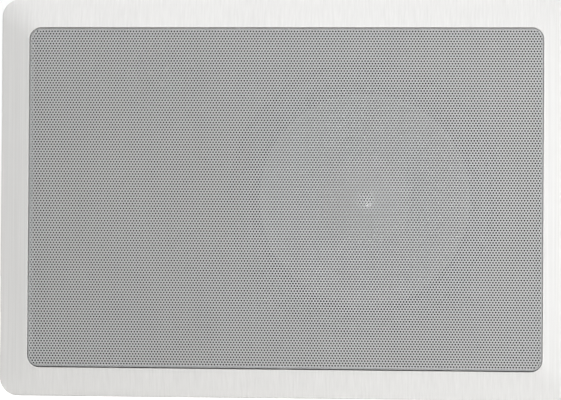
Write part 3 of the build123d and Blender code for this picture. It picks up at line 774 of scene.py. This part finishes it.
def buildGrille(spec):
    columns = spec["columns"]
    rows = spec["rows"]
    # hole centres: x = (c - middle) * pitch + shift, half a pitch on in odd rows; z = (r - middle) * rowStep
    row, column = np.mgrid[0:rows, 0:columns]
    odd = row % 2
    centreX = (column - (columns - 1) / 2 + odd / 2) * spec["pitch"] + spec["shift"]
    centreZ = (row - (rows - 1) / 2) * spec["rowStep"]
    # kept on the face, over the bend and a little way down the side
    half = np.array([spec["width"], spec["height"]]) / 2 - spec["bend"]
    radius = spec["corner"] - spec["bend"]
    centres = np.stack([centreX.ravel(), centreZ.ravel()], axis=1)
    there = (pastBend(centres, half, radius)[0] <= spec["holesPast"]).reshape(rows, columns)
    hole = np.full((rows + 2, columns + 2), -1)
    hole[1:-1, 1:-1][there] = np.arange(there.sum())
    angles = np.radians(30 + 60 * np.arange(6))
    rim = np.stack([np.cos(angles), np.sin(angles)], axis=1) * spec["holeRadius"]
    flat = (np.stack([centreX[there], centreZ[there]], axis=1)[:, None, :] + rim).reshape(-1, 2)
    # neighbours of every hole: east, and the two above
    here = hole[1:-1, 1:-1]
    east = hole[1:-1, 2:]
    up = hole[2:, 1:-1]
    northEast = np.where(odd == 1, hole[2:, 2:], up)
    northWest = np.where(odd == 1, up, hole[2:, :-2])

    def faces(*corners):
        kept = np.all([ids >= 0 for ids, k in corners], axis=0)
        return np.stack([ids[kept] * 6 + k for ids, k in corners], axis=1)

    sheet = [
        faces((here, 5), (east, 3), (east, 2), (here, 0)),
        faces((here, 0), (northEast, 4), (northEast, 3), (here, 1)),
        faces((here, 1), (northWest, 5), (northWest, 4), (here, 2)),
        faces((here, 0), (east, 2), (northEast, 4)),
        faces((here, 1), (northEast, 3), (northWest, 5)),
    ]
    hexagons = np.arange(len(flat)).reshape(-1, 6)
    inner = openEdges(sheet + [hexagons], len(flat))
    # plain edge: triangles between the outermost holes and an outline on the side
    past = spec["plainPast"]
    outline, outward = roundedOutline(*(half + past), radius + past, spec["outlineStep"], spec["cornerSteps"])
    inside, rimEdges = packFaces([inner], len(flat))
    ringIds = len(inside) + np.arange(len(outline))
    fixed = np.concatenate(rimEdges + [np.stack([ringIds, np.roll(ringIds, -1)], axis=1)])
    places = np.concatenate([flat[inside], outline])
    # output type 4 keeps the fixed edges and adds those that whole faces need
    result = delaunay_2d_cdt(places.tolist(), fixed.tolist(), [], 4, 1e-6)
    source = np.array([origin[0] for origin in result[3]])
    shared = np.concatenate([inside, len(flat) + np.arange(len(outline))])
    border = shared[source[np.array(result[2])]]
    every = np.concatenate([flat, outline])
    # only triangles outside the holes' field: a ray from the middle crosses its edge an even number of times
    middle = every[border].mean(axis=1)[:, None, :]
    start, end = flat[inner[:, 0]][None], flat[inner[:, 1]][None]
    spans = (start[..., 1] > middle[..., 1]) != (end[..., 1] > middle[..., 1])
    rise = np.where(spans, end[..., 1] - start[..., 1], 1.0)
    crossing = start[..., 0] + (end[..., 0] - start[..., 0]) * (middle[..., 1] - start[..., 1]) / rise
    border = border[(spans & (middle[..., 0] < crossing)).sum(axis=1) % 2 == 0]
    a, b, c = (every[border[:, k]] for k in range(3))
    area = (b[:, 0] - a[:, 0]) * (c[:, 1] - a[:, 1]) - (b[:, 1] - a[:, 1]) * (c[:, 0] - a[:, 0])
    border[area < 0] = border[area < 0][:, ::-1]
    # side wall: from that outline straight back to the open edge
    rest = bendSection(spec)[0][-1] + spec["depth"] - spec["bendDepth"] - past
    points, normals = foldBlank(np.concatenate([every, outline + rest * outward]), half, radius, spec)
    strip = quadsOf(ringGrid(2, len(outline), len(flat)).T)
    groups = [np.concatenate(sheet[:3]), np.concatenate(sheet[3:] + [border]), strip]
    points = points + [spec["seat"][0], 0, spec["seat"][1]]
    back = points - spec["sheet"] * normals
    quarters = []
    for corner, (sideX, sideZ) in cornerSides.items():
        mine = []
        for group in groups:
            middle = points[group].mean(axis=1)
            mine.append(group[((middle[:, 0] > 0) == (sideX > 0)) & ((middle[:, 2] > 0) == (sideZ > 0))])
        used, mine = packFaces(mine, len(points))
        count = len(used)
        free = openEdges(mine, count)
        sides = np.stack([free[:, 0], free[:, 0] + count, free[:, 1] + count, free[:, 1]], axis=1)
        behind = [group[:, ::-1] + count for group in mine]
        shell = np.concatenate([points[used], back[used]])
        mesh = layMesh("grille_" + corner, shell, mine + behind + [sides])
        quarters.append(addPiece(mesh, "frame", "grille_paint", "grillePaint"))
    for quarter in quarters:
        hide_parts("grille")
    print("grille:", int(there.sum()), "holes,", sum(len(q.data.polygons) for q in quarters), "faces")


buildGrille(grilleSpec)


# closed forms: points and face groups from grids

# drops points that no face uses, and turns all faces round where the signed volume is negative
def closedForm(points, faceGroups):
    used, faceGroups = packFaces([group for group in faceGroups if len(group)], len(points))
    points = points[used]
    volume = 0.0
    for group in faceGroups:
        for k in range(1, group.shape[1] - 1):
            a, b, c = (points[group[:, j]] for j in (0, k, k + 1))
            volume += np.sum(a * np.cross(b, c))
    if volume < 0:
        faceGroups = [group[:, ::-1] for group in faceGroups]
    return points, faceGroups


def joinForms(forms):
    starts = np.cumsum([0] + [len(form[0]) for form in forms])
    groups = [group + start for form, start in zip(forms, starts) for group in form[1]]
    return np.concatenate([form[0] for form in forms]), groups


axisOrder = {"X": [2, 0, 1], "Y": [0, 2, 1], "Z": [0, 1, 2]}


# turned form: a profile (r, h) carried round an axis, at (r cos t, r sin t, h) from its origin
# r and h may vary with t; the profile starts and ends on the axis, or is a loop that closes on itself
def turnedForm(radius, height, origin, axis, around, loop=False):
    angle = circle(around)
    size = (len(radius), around)
    radius = np.broadcast_to(np.asarray(radius, float).reshape(size[0], -1), size)
    height = np.broadcast_to(np.asarray(height, float).reshape(size[0], -1), size)
    local = np.stack([radius * np.cos(angle), radius * np.sin(angle), height], axis=-1)
    points = (local[..., axisOrder[axis]] + np.array(origin)).reshape(-1, 3)
    index = ringGrid(*size)
    if loop:
        return closedForm(points, [quadsOf(np.vstack([index, index[:1]]))])
    first = np.stack([np.full(around, index[0, 0]), index[1, 1:], index[1, :-1]], axis=1)
    last = np.stack([index[-2, :-1], index[-2, 1:], np.full(around, index[-1, 0])], axis=1)
    return closedForm(points, [quadsOf(index[1:-1]), np.concatenate([first, last])])


# a closed profile carried along a path: points (stations, around, 3), with a fan to the middle of each end
def carriedForm(rings):
    stations, around = rings.shape[:2]
    index = ringGrid(stations, around)
    points = np.concatenate([rings.reshape(-1, 3), rings[0].mean(axis=0)[None], rings[-1].mean(axis=0)[None]])
    head = np.full(around, stations * around)
    first = np.stack([head, index[0, 1:], index[0, :-1]], axis=1)
    last = np.stack([index[-1, :-1], index[-1, 1:], head + 1], axis=1)
    return closedForm(points, [quadsOf(index), np.concatenate([first, last])])


# round wire: a circle in the plane of side and (side x tangent), carried along a path that lies in one plane
def wireForm(path, side, radius, sides):
    tangent = np.gradient(path, axis=0)
    tangent = tangent / np.linalg.norm(tangent, axis=1, keepdims=True)
    across = np.cross(side, tangent)
    angle = circle(sides)[:, None]
    ring = np.cos(angle) * np.asarray(side, float) + np.sin(angle) * across[:, None, :]
    return carriedForm(path[:, None, :] + radius * ring)


def addForm(name, form, body, slot, finish, *replaced, sharpAngle=hardEdge):
    addPiece(layMesh(name, *form, sharpAngle), body, slot, finish, *replaced)


# parts on the crossover board

boardSpec = {"back": 15.6, "leadEnd": 14.6, "leadRadius": 0.4, "leadSides": 10, "bendSteps": 8}


# lead of a part: straight out, a quarter circle, then down through the board
def leadForm(start, out, reach, bend, radius):
    start = np.array(start, float)
    out = np.array(out, float)
    down = np.array([0.0, -1.0, 0.0])
    turn = np.linspace(0, np.pi / 2, boardSpec["bendSteps"] + 1)[:, None]
    arc = start + reach * out + bend * np.sin(turn) * out + bend * (1 - np.cos(turn)) * down
    foot = arc[-1] * [1, 0, 1] + [0, boardSpec["leadEnd"], 0]
    return wireForm(np.vstack([start, arc, foot]), np.cross(out, down), radius, boardSpec["leadSides"])


chokeSpec = {
    "centre": (-110.0, -6.0),
    "around": 96,
    "outer": 14.4,
    "inner": 7.1,
    "front": 17.3,
    "back": 28.9,
    "turns": 12,
    "samples": 8,
    "sharpAngle": 50,
    "leadAngles": (-70.0, 200.0),
    "leadDepths": (20.0, 26.5),
    "leadReach": 3.0,
    "leadBend": 1.2,
    "bobbinRadius": 16.0,
    "bobbinFlange": 1.6,
    "bobbinRound": 0.8,
    "bobbinBack": 30.6,
    "rimSteps": 8,
    "hubRadius": 7.0,
    "boreRadius": 5.0,
    "collarRise": 0.5,
    "collarSlope": 0.4,
}


def buildChoke(spec):
    around = spec["around"]
    x, z = spec["centre"]
    # winding: r = outer - w / 2 * (1 - sqrt(1 - (2 p)^2)), p the place across one turn of a helix of pitch w
    wire = (spec["back"] - spec["front"]) / spec["turns"]
    y = np.linspace(spec["front"], spec["back"], spec["turns"] * spec["samples"] + 1)
    across = ((y[:, None] - spec["front"]) / wire + circle(around) / (2 * np.pi)) % 1 - 0.5
    outside = spec["outer"] - wire / 2 * (1 - np.sqrt(np.maximum(1 - 4 * across**2, 0)))
    radius = np.vstack([outside, np.full((2, around), spec["inner"])])
    height = np.concatenate([y, [spec["back"], spec["front"]]])
    forms = [turnedForm(radius, height, (x, 0, z), "Y", around, loop=True)]
    for degrees, depth in zip(spec["leadAngles"], spec["leadDepths"]):
        out = np.array([math.cos(math.radians(degrees)), 0.0, math.sin(math.radians(degrees))])
        start = np.array([x, depth, z]) + (spec["outer"] - wire) * out
        forms.append(leadForm(start, out, spec["leadReach"], spec["leadBend"], wire / 2))
    turns = joinForms(forms)
    sharp = spec["sharpAngle"]
    addForm("choke_turns", turns, "frame", "copper", "copperEnamel", "choke_winding", sharpAngle=sharp)
    # bobbin: two flanges with rounded rims round a hollow core, and a low collar on the outer face
    low, high, rim = boardSpec["back"], spec["bobbinBack"], spec["bobbinRound"]
    hub, bore = spec["hubRadius"], spec["boreRadius"]
    flange = spec["bobbinFlange"] / 2
    arc = np.radians(np.linspace(-90, 90, spec["rimSteps"] + 1))
    rimRadius = spec["bobbinRadius"] - rim + rim * np.cos(arc)
    rimHeight = flange * np.sin(arc)
    slope = spec["collarSlope"]
    collar = high + spec["collarRise"]
    floor, top = low + spec["bobbinFlange"], high - spec["bobbinFlange"]
    crown = [high, collar, collar, high]
    radius = [[bore], rimRadius, [hub, hub], rimRadius, [hub, hub - slope, bore + slope, bore]]
    height = [[low], low + flange + rimHeight, [floor, top], high - flange + rimHeight, crown]
    bobbin = turnedForm(np.concatenate(radius), np.concatenate(height), (x, 0, z), "Y", around, loop=True)
    addForm("choke_former", bobbin, "frame", "black_plastic", "blackPlastic", "choke_bobbin")


buildChoke(chokeSpec)

canSpecs = [
    {
        "name": "capacitor_large",
        "centre": (-84.0, 23.6, -18.0),
        "axis": "Z",
        "out": (0.0, 0.0, 1.0),
        "radius": 8.0,
        "length": 32.0,
        "rim": 1.5,
        "groove": 0.6,
        "slot": "capacitor_sleeve",
        "finish": "capacitorSleeve",
        "endFinish": "canAluminium",
        "endSlot": "plated_steel",
    },
    {
        "name": "capacitor_small",
        "centre": (-114.0, 20.6, -34.0),
        "axis": "X",
        "out": (1.0, 0.0, 0.0),
        "radius": 5.0,
        "length": 22.0,
        "rim": 0.7,
        "groove": 0.0,
        "slot": "capacitor_film",
        "finish": "capacitorFilm",
        "endFinish": "resistorCement",
        "endSlot": "resistor_cement",
    },
]
canShape = {
    "around": 64,
    "round": 0.7,
    "roundSteps": 6,
    "straightPoints": 90,
    "lip": 0.1,
    "recess": 0.7,
    "grooveInset": 2.8,
    "grooveWidth": 2.0,
    "sharpAngle": 45,
    "discAround": 48,
    "discGap": 0.15,
    "discRadii": (0.0, 0.5, 0.8, 0.97, 1.0, 1.0, 0.0),
    "discRises": (0.32, 0.30, 0.22, 0.12, 0.02, -0.4, -0.4),
    "leadReach": 1.0,
    "leadBend": 1.2,
}


# can: a sleeve turned in at both ends round a domed disc, with a groove near one end where r dips by
# groove * (1 + cos(2 pi p)) / 2, p from -1/2 to 1/2 across the groove's width
def buildCan(spec, shape):
    half = spec["length"] / 2
    floor = half - shape["recess"]
    rim = spec["radius"] - spec["rim"]
    corner = np.radians(np.linspace(0, 90, shape["roundSteps"] + 1))
    straight = np.linspace(-half + shape["round"], half - shape["round"], shape["straightPoints"])
    offset = (straight - half + shape["grooveInset"]) / shape["grooveWidth"]
    dip = np.where(np.abs(offset) < 0.5, (1 + np.cos(2 * np.pi * offset)) / 2, 0.0) * spec["groove"]
    turnIn = spec["radius"] - shape["round"] + shape["round"] * np.sin(corner)
    turnUp = half - shape["round"] + shape["round"] * np.cos(corner)
    end = [rim, rim - shape["lip"], 0]
    radius = [end[::-1], turnIn[:-1], spec["radius"] - dip, turnIn[::-1][1:], end]
    height = [[-floor, -floor, -half], -turnUp[:-1], straight, turnUp[::-1][1:], [half, floor, floor]]
    around = shape["around"]
    sleeve = turnedForm(np.concatenate(radius), np.concatenate(height), spec["centre"], spec["axis"], around)
    name = spec["name"]
    sharp = shape["sharpAngle"]
    addForm(name + "_sleeve", sleeve, "frame", spec["slot"], spec["finish"], name, sharpAngle=sharp)
    ends = []
    leads = []
    out = np.array(spec["out"])
    discRadius = np.array(shape["discRadii"]) * (rim - shape["discGap"])
    for way in (-1, 1):
        discHeight = way * (floor + np.array(shape["discRises"]))
        ends.append(turnedForm(discRadius, discHeight, spec["centre"], spec["axis"], shape["discAround"]))
        start = np.array(spec["centre"]) + way * floor * out
        reach = half - floor + shape["leadReach"]
        leads.append(leadForm(start, way * out, reach, shape["leadBend"], boardSpec["leadRadius"]))
    addForm(name + "_ends", joinForms(ends), "frame", spec["endSlot"], spec["endFinish"])
    addForm(name + "_leads", joinForms(leads), "frame", "zinc_screw", "tinnedWire")


for canSpec in canSpecs:
    buildCan(canSpec, canShape)

resistorSpec = {
    "centre": (-86.0, 20.1, -43.0),
    "half": 11.0,
    "leadInset": 1.0,
    "leadReach": 0.7,
    "leadBend": 0.9,
}


def buildResistorLeads(spec):
    leads = []
    for way in (-1, 1):
        start = np.array(spec["centre"]) + [way * (spec["half"] - spec["leadInset"]), 0, 0]
        reach = spec["leadInset"] + spec["leadReach"]
        leads.append(leadForm(start, (way, 0, 0), reach, spec["leadBend"], boardSpec["leadRadius"]))
    addForm("resistor_leads", joinForms(leads), "frame", "zinc_screw", "tinnedWire")


buildResistorLeads(resistorSpec)

padSpec = {
    "around": 24,
    "radius": 1.5,
    "bore": 0.35,
    "rise": 0.12,
    "riseSteps": 6,
    "lift": 0.02,
    "sunk": 0.3,
    "places": [
        (-84.0, -36.2),
        (-84.0, 0.2),
        (-127.2, -34.0),
        (-100.8, -34.0),
        (-98.6, -43.0),
        (-73.4, -43.0),
        (-103.97, -22.57),
        (-126.57, -12.03),
    ],
}


# tinned pad: a low ring of solder round each lead, r from the bore to the rim with h = rise * (1 - s^2)
def buildPads(spec):
    s = np.linspace(0, 1, spec["riseSteps"] + 1)
    outer, bore, sunk = spec["radius"], spec["bore"], -spec["sunk"]
    radius = np.concatenate([bore + (outer - bore) * s, [outer, bore]])
    height = boardSpec["back"] + np.concatenate([spec["rise"] * (1 - s**2) + spec["lift"], [sunk, sunk]])
    pads = [turnedForm(radius, height, (x, 0, z), "Y", spec["around"], loop=True) for x, z in spec["places"]]
    addForm("board_pads", joinForms(pads), "frame", "zinc_screw", "tinnedWire")


buildPads(padSpec)
print("board parts made")


# push levers of the terminal

leverSpec = {
    "z": -55.0,
    "width": 12.0,
    "height": 7.0,
    "front": 21.6,
    "back": 34.6,
    "corner": 0.9,
    "cornerSteps": 6,
    "end": 0.7,
    "endSteps": 5,
    "grooves": 4,
    "grooveDepth": 0.5,
    "grooveSteps": 16,
    "levers": {
        "red": (-111.0, "leverRed"),
        "black": (-93.0, "leverBlack"),
    },
}


# lever: a profile in Z and Y carried along X, drawn in round a quarter circle at both ends
# its finger face is y = back - depth * sin^2(pi * grooves * s) across the height
def buildLevers(spec):
    half = spec["height"] / 2
    front, back, corner, end = spec["front"], spec["back"], spec["corner"], spec["end"]
    arc = np.radians(np.linspace(0, 90, spec["cornerSteps"] + 1))
    s = np.linspace(0, 1, spec["grooveSteps"] * spec["grooves"] + 1)[1:-1]
    face = back - spec["grooveDepth"] * np.sin(np.pi * spec["grooves"] * s) ** 2
    flank = half - corner
    rise = back - corner
    growing, fading = corner * np.sin(arc), corner * np.cos(arc)
    z = np.concatenate([[-half], -flank - fading, (2 * s - 1) * flank, flank + growing, [half]])
    y = np.concatenate([[front], rise + growing, face, rise + fading, [front]])
    turn = np.radians(np.linspace(0, 90, spec["endSteps"] + 1))
    reach = spec["width"] / 2 - end + end * np.sin(turn)
    drawn = end * (1 - np.cos(turn))
    along = np.concatenate([-reach[::-1], reach])
    inset = np.concatenate([drawn[::-1], drawn])[:, None]
    middle = (front + back) / 2
    ringZ = spec["z"] + z[None] * (1 - inset / half)
    ringY = middle + (y[None] - middle) * (1 - inset / ((back - front) / 2))
    for colour, (x, finish) in spec["levers"].items():
        rings = np.stack([np.broadcast_to(x + along[:, None], ringZ.shape), ringY, ringZ], axis=-1)
        lever = "lever_" + colour
        addForm("push_" + lever, carriedForm(rings), lever, lever, finish, "terminal_" + lever)


buildLevers(leverSpec)
print("levers made")


# screws

screwShape = {
    "headAround": 64,
    "headRadius": 3.9,
    "headHeight": 2.4,
    "power": 2.6,
    "armHalf": 0.5,
    "armEdge": 0.12,
    "armReach": 2.2,
    "reachEdge": 0.2,
    "sink": 1.2,
    "threadDepth": 0.35,
    "threadAround": 20,
    "threadSteps": 6,
    "plainAround": 24,
    "overlap": 0.4,
    "tipShare": 0.6,
}


# pan head: (r / R)^p + (h / H)^p = 1, with a cross sunk into it
# shank: r falls from its crest by a triangle wave of the helix, and no pitch leaves it plain
# way is 1 where the screw points along +Y
def screwForms(x, z, spec, shape):
    bearing, shank, length = (spec[key] for key in ("bearing", "radius", "length"))
    way, pitch = spec["way"], spec["pitch"]
    around = shape["headAround"]
    angle = circle(around)
    share = np.append(np.linspace(0, 0.94, 24), [0.97, 0.99, 1.0])  # closer together at the rim
    r = shape["headRadius"] * share
    rise = shape["headHeight"] * (1 - share ** shape["power"]) ** (1 / shape["power"])
    u = np.abs(r[:, None] * np.cos(angle))
    v = np.abs(r[:, None] * np.sin(angle))
    armEdge, reachEdge = shape["armEdge"], shape["reachEdge"]
    narrow = np.clip((shape["armHalf"] + armEdge - np.minimum(u, v)) / (2 * armEdge), 0, 1)
    near = np.clip((shape["armReach"] + reachEdge - np.maximum(u, v)) / (2 * reachEdge), 0, 1)
    top = bearing - way * (rise[:, None] - shape["sink"] * narrow * near)
    height = np.vstack([top, np.full((1, around), bearing)])
    head = turnedForm(np.append(r, 0.0), height, (x, 0, z), "Y", around)
    around = shape["threadAround"] if pitch else shape["plainAround"]
    straight = length - shank
    h = np.linspace(0, straight, int(straight / pitch * shape["threadSteps"]) if pitch else 2)
    crest = np.full((len(h), around), shank)
    if pitch:
        place = (h[:, None] / pitch + way * circle(around) / (2 * np.pi)) % 1
        crest = crest - shape["threadDepth"] * np.abs(2 * place - 1)
    axis = np.zeros((1, around))
    radius = np.vstack([axis, crest, np.full((1, around), shape["tipShare"] * shank), axis])
    inHead = -shape["overlap"]
    depth = bearing + way * np.concatenate([[inHead, inHead], h[1:], [length, length]])
    return [head, turnedForm(radius, depth, (x, 0, z), "Y", around)]


clampSpec = {"x": 126.0, "z": 80.0, "bearing": 5.0, "radius": 2.0, "length": 52.0, "way": 1, "pitch": 0.9}
for corner, (sideX, sideZ) in cornerSides.items():
    form = joinForms(screwForms(sideX * clampSpec["x"], sideZ * clampSpec["z"], clampSpec, screwShape))
    body = "screw_" + corner
    addForm("clamp_thread_" + corner, form, body, "black_screw", "blackScrew", "clamp_screw_" + corner)

boardScrewSpec = {
    "x": (-127.0, -77.0),
    "z": (-63.0, 11.0),
    "bearing": 15.6,
    "radius": 1.3,
    "length": 6.0,
    "way": -1,
    "pitch": 0.0,
}
forms = []
for x in boardScrewSpec["x"]:
    for z in boardScrewSpec["z"]:
        forms += screwForms(x, z, boardScrewSpec, screwShape)
addForm("board_screw_heads", joinForms(forms), "frame", "zinc_screw", "zincScrew", "crossover_screws")

wooferScrewSpec = {"circle": 79.0, "bearing": 3.8, "radius": 1.7, "length": 12.0, "way": 1, "pitch": 0.0}
reach = wooferScrewSpec["circle"] * math.sqrt(0.5)
forms = []
for sideX, sideZ in cornerSides.values():
    forms += screwForms(wooferCentre[0] + sideX * reach, sideZ * reach, wooferScrewSpec, screwShape)
addForm("woofer_screw_heads", joinForms(forms), "frame", "black_screw", "blackScrew", "woofer_screws")
print("screws made")


# soft parts of the woofer: both bend between the frame and the moving cone

# weight 3 s^2 - 2 s^3 by the distance from the woofer's axis: 1 moves with the cone, 0 stays with the frame
def bendWith(name, form, finish, still, moving, replaced):
    mesh = layMesh(name, *form, softEdge)
    piece = placePiece(mesh, finishes[finish])
    x, z = wooferCentre
    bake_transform(piece, "frame", "woofer_moving", start=((x + still) * mm, 0, 0), end=((x + moving) * mm, 0, 0))
    distance = np.hypot(form[0][:, 0] - x, form[0][:, 2] - z)
    share = np.clip((still - distance) / (still - moving), 0, 1)
    weight = share * share * (3 - 2 * share)
    mesh.attributes["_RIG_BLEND"].data.foreach_set("value", weight.astype(np.float32))
    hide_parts(replaced)


# a section (r, y) turned round the woofer's axis
def wooferRing(radius, height, around):
    x, z = wooferCentre
    return turnedForm(np.concatenate(radius), np.concatenate(height), (x, 0, z), "Y", around, loop=True)


spiderSpec = {
    "inner": 13.2,
    "outer": 46.7,
    "waveStart": 16.5,
    "waveEnd": 40.3,
    "level": 37.15,
    "sheet": 0.6,
    "waves": 6,
    "height": 1.25,
    "points": 110,
    "around": 96,
}


# corrugation: y = level + height * sin(2 pi waves s), s from 0 to 1 across the waves
def buildSpider(spec):
    start, end = spec["waveStart"], spec["waveEnd"]
    r = np.linspace(spec["inner"], spec["outer"], spec["points"])
    s = np.clip((r - start) / (end - start), 0, 1)
    y = spec["level"] + spec["height"] * np.sin(2 * np.pi * spec["waves"] * s)
    form = wooferRing([r, r[::-1]], [y - spec["sheet"], y[::-1]], spec["around"])
    bendWith("spider_disc", form, "spiderCloth", end, start, "spider")


surroundSpec = {
    "land": 57.0,
    "middle": 64.5,
    "roll": 5.0,
    "sheet": 0.8,
    "face": 3.8,
    "edge": 74.6,
    "points": 41,
    "around": 144,
}


# half roll: (middle + R cos t, face - R sin t), R larger in front by the sheet, and a flat land on each side
def buildSurround(spec):
    land, middle, roll, face, edge = (spec[key] for key in ("land", "middle", "roll", "face", "edge"))
    outerRoll = roll + spec["sheet"]
    start = math.asin(spec["sheet"] / outerRoll)
    front = np.linspace(math.pi - start, start, spec["points"])
    back = np.linspace(0, math.pi, spec["points"])
    flat = face - spec["sheet"]
    radius = [[land], middle + outerRoll * np.cos(front), [edge, edge], middle + roll * np.cos(back), [land]]
    height = [[flat], face - outerRoll * np.sin(front), [flat, face], face - roll * np.sin(back), [face]]
    form = wooferRing(radius, height, spec["around"])
    still, moving = middle + roll, middle - roll
    bendWith("surround_roll", form, "surroundRubber", still, moving, "woofer_surround")


buildSpider(spiderSpec)
buildSurround(surroundSpec)
print("surround and spider made")


# floor, light and camera

stageLook = {
    "floorColour": (0.81, 0.80, 0.775),
    "floorRough": 0.9,
    "floorGlow": 0.64,
    "glowStart": 0.25,  # distance from which the floor's glow rises to white
    "glowSpan": 1.2,
    "floorSize": 8.0,
    "fill": (0.100, 0.0985, 0.0945),  # light of the world on surfaces
    "lamps": {
        "key": {"place": (0.44, -0.80, 0.02), "power": 4.1, "size": 0.24},
        "top": {"place": (-0.155, -0.16, 0.65), "power": 2.5, "size": 0.40},
        "rear": {"place": (-0.45, 1.20, 0.75), "power": 11.5, "size": 0.6},
        "low": {"place": (0.062, -0.55, -0.095), "power": 0.19, "size": 0.035},
        "high": {"place": (-0.190, -0.90, 0.122), "power": 0.12, "size": 0.05},
    },
}


def buildStage(look):
    half = look["floorSize"] / 2
    level = cadBox[0][2]
    mesh = bpy.data.meshes.new("floor")
    corners = [(-half, -half, level), (half, -half, level), (half, half, level), (-half, half, level)]
    mesh.from_pydata(corners, [], [(0, 1, 2, 3)])
    paint = Finish("floorPaint")
    # lifted to white where it is seen, more so away from the lamps, and its lit part keeps the shadow
    outward = paint.node("ShaderNodeVectorMath", {"operation": "LENGTH"}, {0: paint.place}, "Value")
    away = ((outward - look["glowStart"]) / look["glowSpan"]).clamped()
    glow = between(paint, ((look["floorGlow"],) * 3, (1, 1, 1)), away)
    paint.put(
        Base_Color=rgba(look["floorColour"]),
        Roughness=look["floorRough"],
        Emission_Color=mixColour(paint, rgba((0, 0, 0)), glow, paint.seen()),
        Emission_Strength=1.0,
    )
    placePiece(mesh, paint)

    world = bpy.data.worlds.new("studio")
    scene.world = world
    sky = NodeTree(world)
    background = sky.tree.nodes["Background"]
    sky.feed(background.inputs["Color"], between(sky, (look["fill"], (1, 1, 1)), sky.seen()))
    sky.feed(background.inputs["Strength"], 1.0)

    for name, spec in look["lamps"].items():
        lamp = bpy.data.lights.new(name, "AREA")
        lamp.shape = "DISK"
        lamp.size = spec["size"]
        lamp.energy = spec["power"]
        holder = bpy.data.objects.new(name, lamp)
        scene.collection.objects.link(holder)
        holder.location = spec["place"]
        holder.rotation_mode = "QUATERNION"
        holder.rotation_quaternion = (-Vector(spec["place"])).to_track_quat("-Z", "Y")
    print("stage set")


buildStage(stageLook)

cameraSpec = {
    "place": (122.9, -1500.0, -18.9),
    "yaw": 4.77,
    "pitch": 0.69,
    "roll": 0.37,
    "focal": 2780.2,  # in pixels of a picture this wide
    "pictureWidth": 561,
    "sensorWidth": 36.0,
    "clip": (0.01, 100.0),
}


def buildCamera(spec):
    yaw, pitch, roll = (math.radians(spec[key]) for key in ("yaw", "pitch", "roll"))
    ahead = Vector((-math.sin(yaw) * math.cos(pitch), math.cos(yaw) * math.cos(pitch), math.sin(pitch)))
    right = ahead.cross(Vector((0, 0, 1))).normalized()
    up = right.cross(ahead)
    tiltedRight = math.cos(roll) * right + math.sin(roll) * up
    tiltedUp = math.cos(roll) * up - math.sin(roll) * right
    lens = bpy.data.cameras.new("photoCamera")
    lens.sensor_width = spec["sensorWidth"]
    lens.lens = spec["focal"] / spec["pictureWidth"] * lens.sensor_width
    lens.clip_start, lens.clip_end = spec["clip"]
    camera = bpy.data.objects.new("photoCamera", lens)
    scene.collection.objects.link(camera)
    turn = Matrix((tiltedRight, tiltedUp, -ahead)).transposed().to_4x4()
    camera.matrix_world = Matrix.Translation(Vector(spec["place"]) * mm) @ turn
    scene.camera = camera
    print("camera set, lens", round(lens.lens, 1))


buildCamera(cameraSpec)

bpy.context.view_layer.update()
